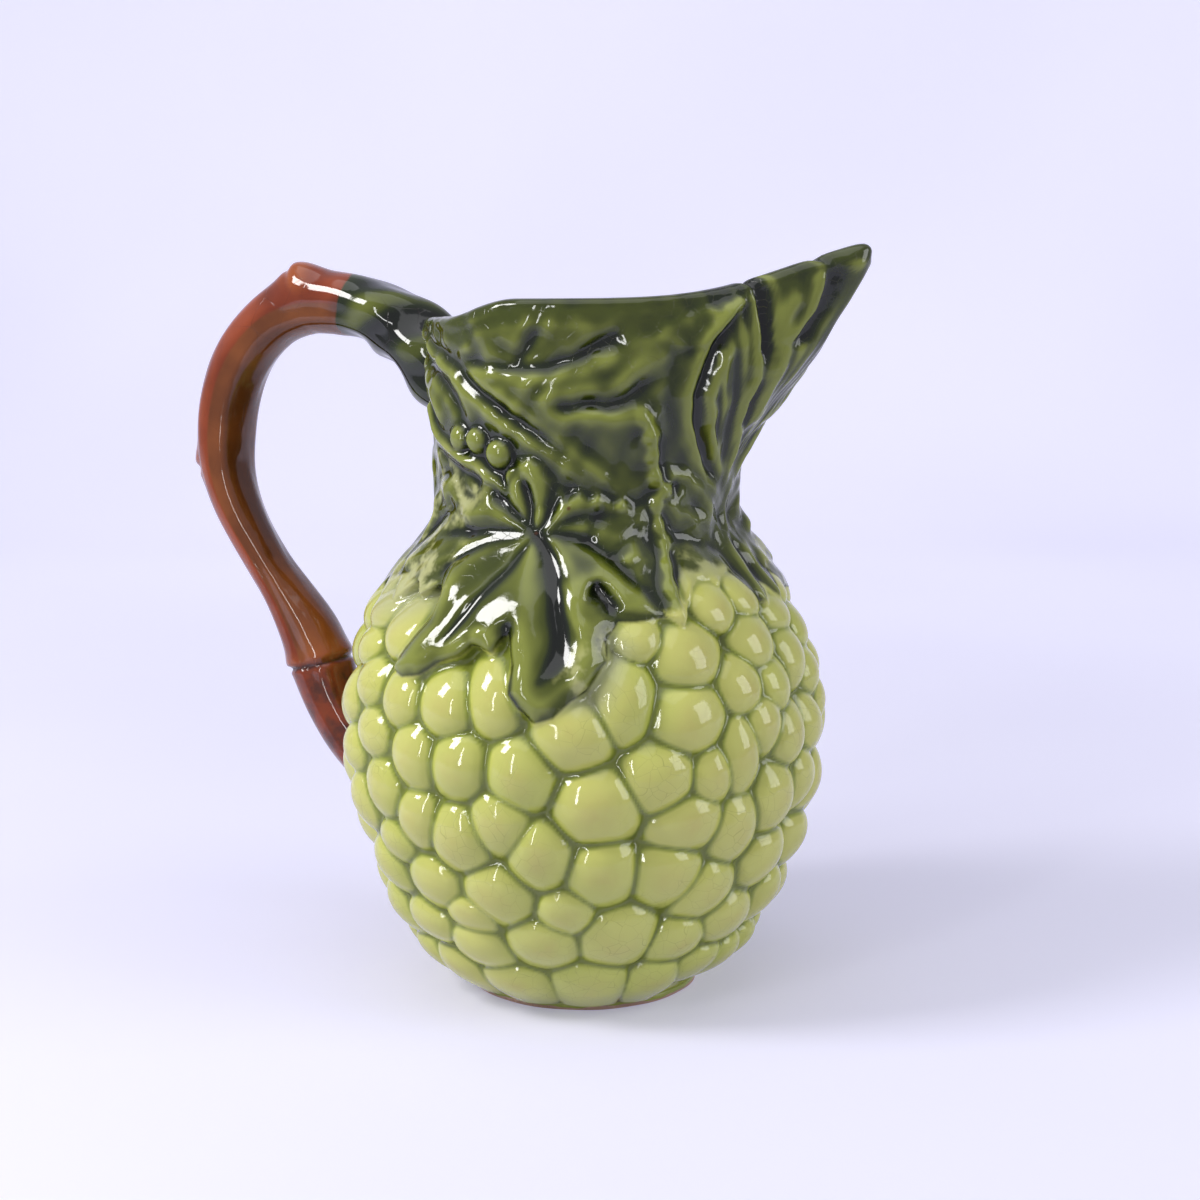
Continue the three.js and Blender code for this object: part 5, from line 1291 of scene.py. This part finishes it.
class Nodes:
    """Short calls for a node tree."""

    def __init__(self, tree):
        self.tree = tree

    def make(self, kind, **settings):
        node = self.tree.nodes.new("ShaderNode" + kind)
        for name, value in settings.items():
            setattr(node, name, value)
        return node

    def put(self, socket, value):
        """Links a socket to another one, or sets its value; a colour is given as its screen code."""
        if isinstance(value, bpy.types.NodeSocket):
            self.tree.links.new(value, socket)
        elif socket.type == "RGBA" and isinstance(value, int):
            socket.default_value = linear(value)
        else:
            socket.default_value = value

    def fill(self, node, **values):
        """Sets or links a node's sockets by name; an underscore stands for a space."""
        for name, value in values.items():
            self.put(node.inputs[name.replace("_", " ")], value)
        return node

    def maths(self, operation, a, b):
        node = self.make("Math", operation=operation)
        self.put(node.inputs[0], a)
        self.put(node.inputs[1], b)
        return node.outputs[0]

    def times(self, a, b):
        return self.maths("MULTIPLY", a, b)

    def plus(self, a, b):
        return self.maths("ADD", a, b)

    def mix(self, share, a, b):
        node = self.make("Mix", data_type="RGBA")
        for k, value in ((0, share), (6, a), (7, b)):
            self.put(node.inputs[k], value)
        return node.outputs[2]

    def coats(self, colour, *layers):
        """A colour with further layers of (share, colour) over it."""
        for share, over in layers:
            colour = self.mix(share, colour, over)
        return colour

    def spread(self, value, low, high, to_low=0.0, to_high=1.0):
        node = self.make("MapRange", interpolation_type="SMOOTHSTEP")
        for socket, v in zip(node.inputs, (value, low, high, to_low, to_high)):
            self.put(socket, v)
        return node.outputs[0]

    def field(self, name):
        return self.make("Attribute", attribute_name=name).outputs["Fac"]

    def place(self):
        return self.make("TexCoord").outputs["Object"]

    def noise(self, place, scale, detail=3.0, roughness=0.5, distortion=0.0):
        node = self.make("TexNoise")
        self.fill(node, Vector=place, Scale=scale, Detail=detail, Roughness=roughness, Distortion=distortion)
        return node.outputs["Fac"]

    def patches(self, place, scale, detail, low, high, roughness=0.5, distortion=0.0):
        """Soft patches of 0 and 1."""
        return self.spread(self.noise(place, scale, detail, roughness, distortion), low, high)

    def group(self, group, **values):
        return self.fill(self.make("Group", node_tree=group), **values).outputs[0]

    def bump(self, shader, height, distance, strength):
        bump = self.fill(self.make("Bump"), Height=height, Distance=distance, Strength=strength)
        self.fill(shader, Normal=bump.outputs[0])

    def seen_or_mirrored(self):
        """1 for what the camera sees, directly, in a reflection or through something."""
        rays = self.make("LightPath").outputs
        seen = self.maths("MAXIMUM", rays["Is Camera Ray"], rays["Is Glossy Ray"])
        return self.maths("MAXIMUM", seen, rays["Is Transmission Ray"])


def new_group(name, inputs, output, kind):
    """An empty node group with numbers as its inputs, {name: default}, and one output."""
    group = bpy.data.node_groups.new(name, "ShaderNodeTree")
    for socket, default in inputs.items():
        made = group.interface.new_socket(socket, in_out="INPUT", socket_type="NodeSocketFloat")
        made.default_value = default
    group.interface.new_socket(output, in_out="OUTPUT", socket_type="NodeSocket" + kind)
    given = group.nodes.new("NodeGroupInput").outputs
    return group, Nodes(group), given, group.nodes.new("NodeGroupOutput").inputs[0]


def make_crazing_group():
    """Fine dark cracks in the glaze: a net of uneven cells, in patches."""
    group, n, given, out = new_group("crazing", {"Scale": 95.0, "Width": 0.012}, "Lines", "Float")
    place = n.place()
    warp = n.fill(n.make("TexNoise"), Vector=place, Scale=60)
    bent = n.make("VectorMath", operation="MULTIPLY_ADD")
    for socket, value in zip(bent.inputs, (warp.outputs["Color"], (CRACK_BEND,) * 3, place)):
        n.put(socket, value)
    cells = n.make("TexVoronoi", feature="DISTANCE_TO_EDGE")
    n.fill(cells, Vector=bent.outputs[0], Scale=given["Scale"])
    line = n.spread(cells.outputs["Distance"], 0.0, given["Width"], 1.0, 0.0)
    n.put(out, n.times(line, n.patches(place, 28, 2, 0.42, 0.62)))
    return group


def make_speck_group():
    """Sparse small iron specks."""
    group, n, given, out = new_group("iron_specks", {"Scale": 55.0}, "Specks", "Float")
    cells = n.fill(n.make("TexVoronoi"), Vector=n.place(), Scale=given["Scale"])
    dot = n.spread(cells.outputs["Distance"], 0.03, 0.06, 1.0, 0.0)
    rare = n.fill(n.make("SeparateColor"), Color=cells.outputs["Color"])
    n.put(out, n.times(dot, n.spread(rare.outputs[0], 0.93, 0.95)))
    return group


def make_grape_group():
    """Yellow-green glaze of the grapes: tan on some crowns, greener where it pools, which also paints the
    creases' shade, and lighter where it runs thinner, which also paints sheen on the ridges.
    """
    inputs = {"Pooling": 0.0, "Thinness": 0.0, "Crown": 0.0, "Tint": 0.0}
    group, n, given, out = new_group("grape_glaze", inputs, "Color", "Color")
    place = n.place()
    crown = n.times(n.spread(given["Crown"], 0.25, 0.95), n.patches(place, 90, 4, 0.3, 0.8, 0.6))
    glaze = n.coats(
        n.mix(n.patches(place, 22, 2, 0.35, 0.68), GRAPE_YELLOW, GRAPE_GREEN),
        (n.times(given["Tint"], 0.5), GRAPE_TINT),
        (n.times(crown, 0.7), GRAPE_CROWN),
        # Lighter where the glaze runs thinner on the ridges, which is also painted sheen
        (n.times(given["Thinness"], 0.35), GRAPE_THIN_SHEEN),
        # Greener and darker where the glaze pools in the creases, which is also painted shade
        (n.spread(given["Pooling"], 0.16, 0.85), GRAPE_POOLED_SHADE),
        (n.spread(given["Pooling"], 0.7, 1.05), GRAPE_DEEP_SHADE),
    )
    n.put(out, glaze)
    return group


def make_leaf_group():
    """Dark green glaze of the leaves: nearly black where it pools, which also paints shade in the hollows,
    and olive where it runs thinner, which also paints sheen on the ridges.
    """
    group, n, given, out = new_group("leaf_glaze", {"Pooling": 0.0, "Thinness": 0.0}, "Color", "Color")
    place = n.place()
    glaze = n.coats(
        n.mix(n.patches(place, 30, 3, 0.35, 0.7), LEAF_OLIVE, LEAF_GREEN),
        (n.times(n.patches(place, 130, 4, 0.3, 0.75, 0.6), 0.25), LEAF_STREAK),
        # Olive where the glaze runs thinner, which is also painted sheen
        (n.spread(given["Thinness"], 0.0, 0.8), LEAF_THIN_SHEEN),
        # Nearly black where the glaze pools, which is also painted shade
        (n.spread(given["Pooling"], 0.05, 0.55), LEAF_POOLED_SHADE),
        (n.spread(given["Pooling"], 0.45, 1.0), LEAF_DEEP_SHADE),
    )
    n.put(out, glaze)
    return group


CRAZING = make_crazing_group()
IRON_SPECKS = make_speck_group()
GRAPE_GLAZE = make_grape_group()
LEAF_GLAZE = make_leaf_group()


def new_material(name):
    material = bpy.data.materials.new(name)
    material.use_nodes = True
    material.node_tree.nodes.clear()
    nodes = Nodes(material.node_tree)
    shader = nodes.make("BsdfPrincipled")
    nodes.put(nodes.make("OutputMaterial").inputs["Surface"], shader.outputs[0])
    return material, nodes, shader


def finish_glaze(n, shader, colour, cracks, roughest, wave):
    """Shine and gentle waves of a fired glaze, with the crazing cut in."""
    place = n.place()
    roughness = n.spread(n.noise(place, 60, 2), 0.3, 0.75, 0.05, roughest)
    n.fill(shader, Base_Color=colour, Roughness=roughness)
    slow, quick = n.noise(place, 75, 2), n.noise(place, 320, 2)
    waves = n.plus(n.times(slow, wave), n.times(quick, 0.1 * wave))
    n.bump(shader, n.maths("SUBTRACT", waves, n.times(cracks, 0.05)), 0.0006, 0.7)


def make_glaze(name):
    """The outside's two green glazes, which run into each other."""
    material, n, shader = new_material(name)
    place = n.place()
    pooling_and_shade, thinness_and_sheen, mottle_and_reflection = n.field("pooling_and_shade"), n.field("thinness_and_sheen"), n.field("mottle_and_reflection")
    grape = n.group(
        GRAPE_GLAZE, Pooling=pooling_and_shade, Thinness=thinness_and_sheen, Crown=n.field("crown"), Tint=n.field("tint")
    )
    leaf = n.group(LEAF_GLAZE, Pooling=pooling_and_shade, Thinness=thinness_and_sheen)
    run = n.noise(place, 110, 4, 0.6, 0.4)
    dark = n.plus(n.field("dark_glaze"), n.times(n.maths("SUBTRACT", run, 0.5), 0.7))
    patch = n.times(n.patches(place, 120, 3, 0.44, 0.62, 0.55, 0.15), mottle_and_reflection)
    patch = n.times(patch, n.spread(pooling_and_shade, 0.6, 0.1))
    dark = n.times(n.spread(dark, 0.25, 0.78), n.maths("SUBTRACT", 1.0, n.times(patch, 0.9)))
    cracks = n.group(CRAZING, Scale=230.0, Width=0.016)
    specks = n.group(IRON_SPECKS, Scale=55.0)
    colour = n.coats(
        grape,
        # Pale glaze showing through the dark, lightened as a painted reflection
        (n.times(mottle_and_reflection, 0.65), MOTTLE_REFLECTION),
        (dark, leaf),
        (n.spread(n.plus(n.field("brown_glaze"), n.times(run, 0.3)), 0.45, 0.9), BLED_BROWN),
        (n.times(cracks, 0.3), GLAZE_CRACK),
        (n.times(specks, 0.8), IRON_SPECK),
    )
    finish_glaze(n, shader, colour, cracks, 0.11, 1.0)
    return material


def make_brown_glaze():
    """Rust-brown glaze of the branch, running to green at its upper end."""
    material, n, shader = new_material("brown_glaze")
    place = n.place()
    pooling_and_shade, thinness_and_sheen = n.field("pooling_and_shade"), n.field("thinness_and_sheen")
    run = n.noise(place, 90, 4, 0.6, 0.3)
    outer = n.mix(n.patches(place, 40, 3, 0.35, 0.7), RUST_LIGHT, RUST_DARK)
    inner = n.mix(n.patches(place, 55, 3, 0.3, 0.7), BROWN_LIGHT, BROWN_DARK)
    plum = n.mix(n.patches(place, 120, 4, 0.4, 0.65, 0.6), PLUM_LIGHT, PLUM_DARK)
    green = n.plus(n.field("green_end"), n.times(n.maths("SUBTRACT", run, 0.5), 0.5))
    cracks = n.group(CRAZING, Scale=80.0, Width=0.01)
    colour = n.coats(
        inner,
        (n.spread(n.plus(n.field("outer_face"), n.times(run, 0.3)), 0.45, 0.85), outer),
        (n.times(n.field("lower_end"), 0.8), plum),
        # Lighter where the glaze runs thinner on the bark's ridges, which is also painted sheen
        (n.times(thinness_and_sheen, 0.55), BROWN_THIN_SHEEN),
        # Darker where the glaze pools in the bark's grooves, which is also painted shade
        (n.spread(pooling_and_shade, 0.1, 0.8), BROWN_POOLED_SHADE),
        (n.spread(green, 0.35, 0.65), n.group(LEAF_GLAZE, Pooling=pooling_and_shade, Thinness=thinness_and_sheen)),
        (n.times(cracks, 0.35), BROWN_CRACK),
    )
    finish_glaze(n, shader, colour, cracks, 0.12, 0.8)
    return material


def make_bare_clay():
    """Unglazed pink-brown clay of the foot, under the edge of the pale glaze."""
    material, n, shader = new_material("bare_clay")
    place = n.place()
    grain, broad = n.noise(place, 900, 4, 0.65), n.noise(place, 60, 3)
    glazed = n.spread(n.plus(n.field("glazed"), n.times(broad, 0.2)), 0.5, 0.7)
    colour = n.coats(
        n.mix(n.spread(broad, 0.3, 0.7), CLAY_LIGHT, CLAY_DARK),
        (n.spread(grain, 0.55, 0.75), CLAY_GRAIN),
        (glazed, FOOT_GLAZE),
    )
    n.fill(shader, Base_Color=colour, Roughness=n.spread(glazed, 0.0, 1.0, 0.82, 0.15))
    n.bump(shader, grain, 0.0003, 0.5)
    return material


def finish_piece(piece, material, node):
    piece.data.materials.append(material)
    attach(piece, "root")
    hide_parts(node)


def make_pieces():
    pale = make_glaze("pale_green_glaze")
    dark = make_glaze("dark_green_glaze")
    jug = Jug()
    finish_piece(jug.make_belly(), pale, "belly")
    finish_piece(jug.make_neck(), dark, "neck")
    for side, cells in (("near", ~jug.far_cells), ("far", jug.far_cells)):
        leaf = jug.make_applied(f"{side}_vine_leaf_blade", jug.leaf_cells & cells)
        finish_piece(leaf, dark, f"{side}_vine_leaf")
        sprig = jug.make_applied(f"{side}_berries_and_stalk", jug.sprig_cells & cells)
        finish_piece(sprig, dark, f"{side}_bud_sprig")
    finish_piece(make_handle(), make_brown_glaze(), "handle")
    finish_piece(make_foot(), make_bare_clay(), "foot")


def show(name, data):
    """A new object in the scene."""
    thing = bpy.data.objects.new(name, data)
    bpy.context.scene.collection.objects.link(thing)
    return thing


def make_backdrop():
    """A pale table that sweeps up into a wall and ends just in front of the camera."""
    profile = [(TABLE_FRONT, 0.0), (WALL_BEHIND - SWEEP, 0.0)]
    for n in range(1, SWEEP_STEPS + 1):
        turn = math.pi / 2 * n / SWEEP_STEPS
        profile.append((WALL_BEHIND - SWEEP + SWEEP * math.sin(turn), SWEEP - SWEEP * math.cos(turn)))
    profile.append((WALL_BEHIND, WALL_TOP))
    cos, sin = math.cos(PHOTO_TURN), math.sin(PHOTO_TURN)
    sides = (-TABLE_HALF_WIDTH, TABLE_HALF_WIDTH)
    points = [(cos * w - sin * d, cos * d + sin * w, z) for d, z in profile for w in sides]
    faces = [(2 * n, 2 * n + 1, 2 * n + 3, 2 * n + 2) for n in range(len(profile) - 1)]
    mesh = bpy.data.meshes.new("pale_backdrop")
    mesh.from_pydata(points, [], faces)
    mesh.polygons.foreach_set("use_smooth", [True] * len(faces))
    material, n, shader = new_material("pale_backdrop")
    place = n.place()
    cloud = n.patches(place, 1.5, 2, 0.3, 0.7)
    apart = n.make("VectorMath", operation="LENGTH")
    n.put(apart.inputs[0], place)
    glow = n.times(n.spread(apart.outputs["Value"], 0.08, 1.1, 0.3, 0.64), n.seen_or_mirrored())
    n.fill(shader, Base_Color=n.mix(cloud, TABLE_LIGHT, TABLE_DARK), Roughness=0.9)
    n.fill(shader, Emission_Color=n.mix(cloud, ROOM_LIGHT, ROOM_DARK), Emission_Strength=glow)
    mesh.materials.append(material)
    show("pale_backdrop", mesh)


def make_lamp(name, azimuth, elevation, distance, size, power, colour):
    """A soft box that faces the jug, placed by its direction: azimuth 0 is the spout's side."""
    light = bpy.data.lights.new(name, "AREA")
    light.shape = "RECTANGLE"
    light.size, light.size_y = size
    light.energy = power
    light.color = colour
    a, e = azimuth * DEG, elevation * DEG
    away = Vector((math.cos(e) * math.cos(a), math.cos(e) * math.sin(a), math.sin(e)))
    lamp = show(name, light)
    lamp.location = away * distance + Vector((0, 0, LAMP_TARGET))
    lamp.rotation_euler = (-away).to_track_quat("-Z", "Y").to_euler()


def make_light():
    for lamp in LAMPS:
        make_lamp(*lamp)
    world = bpy.data.worlds.new("dim_room")
    bpy.context.scene.world = world
    world.use_nodes = True
    nodes = world.node_tree.nodes
    n = Nodes(world.node_tree)
    dim = n.fill(nodes["Background"], Color=DIM_ROOM, Strength=0.14)
    pale = n.fill(n.make("Background"), Color=PALE_ROOM, Strength=0.6)
    mixed = n.make("MixShader")
    for socket, value in zip(mixed.inputs, (n.seen_or_mirrored(), dim.outputs[0], pale.outputs[0])):
        n.put(socket, value)
    n.fill(nodes["World Output"], Surface=mixed.outputs[0])


def make_camera():
    """The photograph's viewpoint: level with the rim, a little to the spout's side."""
    data = bpy.data.cameras.new("camera")
    data.lens = 60
    data.sensor_width = 36
    data.clip_start = 0.01
    camera = show("camera", data)
    cos, sin = math.cos(PHOTO_TURN), math.sin(PHOTO_TURN)
    across, away, height = CAMERA_PLACE
    camera.location = (sin * away + cos * across, sin * across - cos * away, height)
    camera.rotation_euler = (math.pi / 2 - math.atan(CAMERA_SLOPE), 0, PHOTO_TURN)
    bpy.context.scene.camera = camera


make_camera()
make_light()
make_backdrop()
make_pieces()
bpy.context.scene.view_settings.view_transform = "Standard"
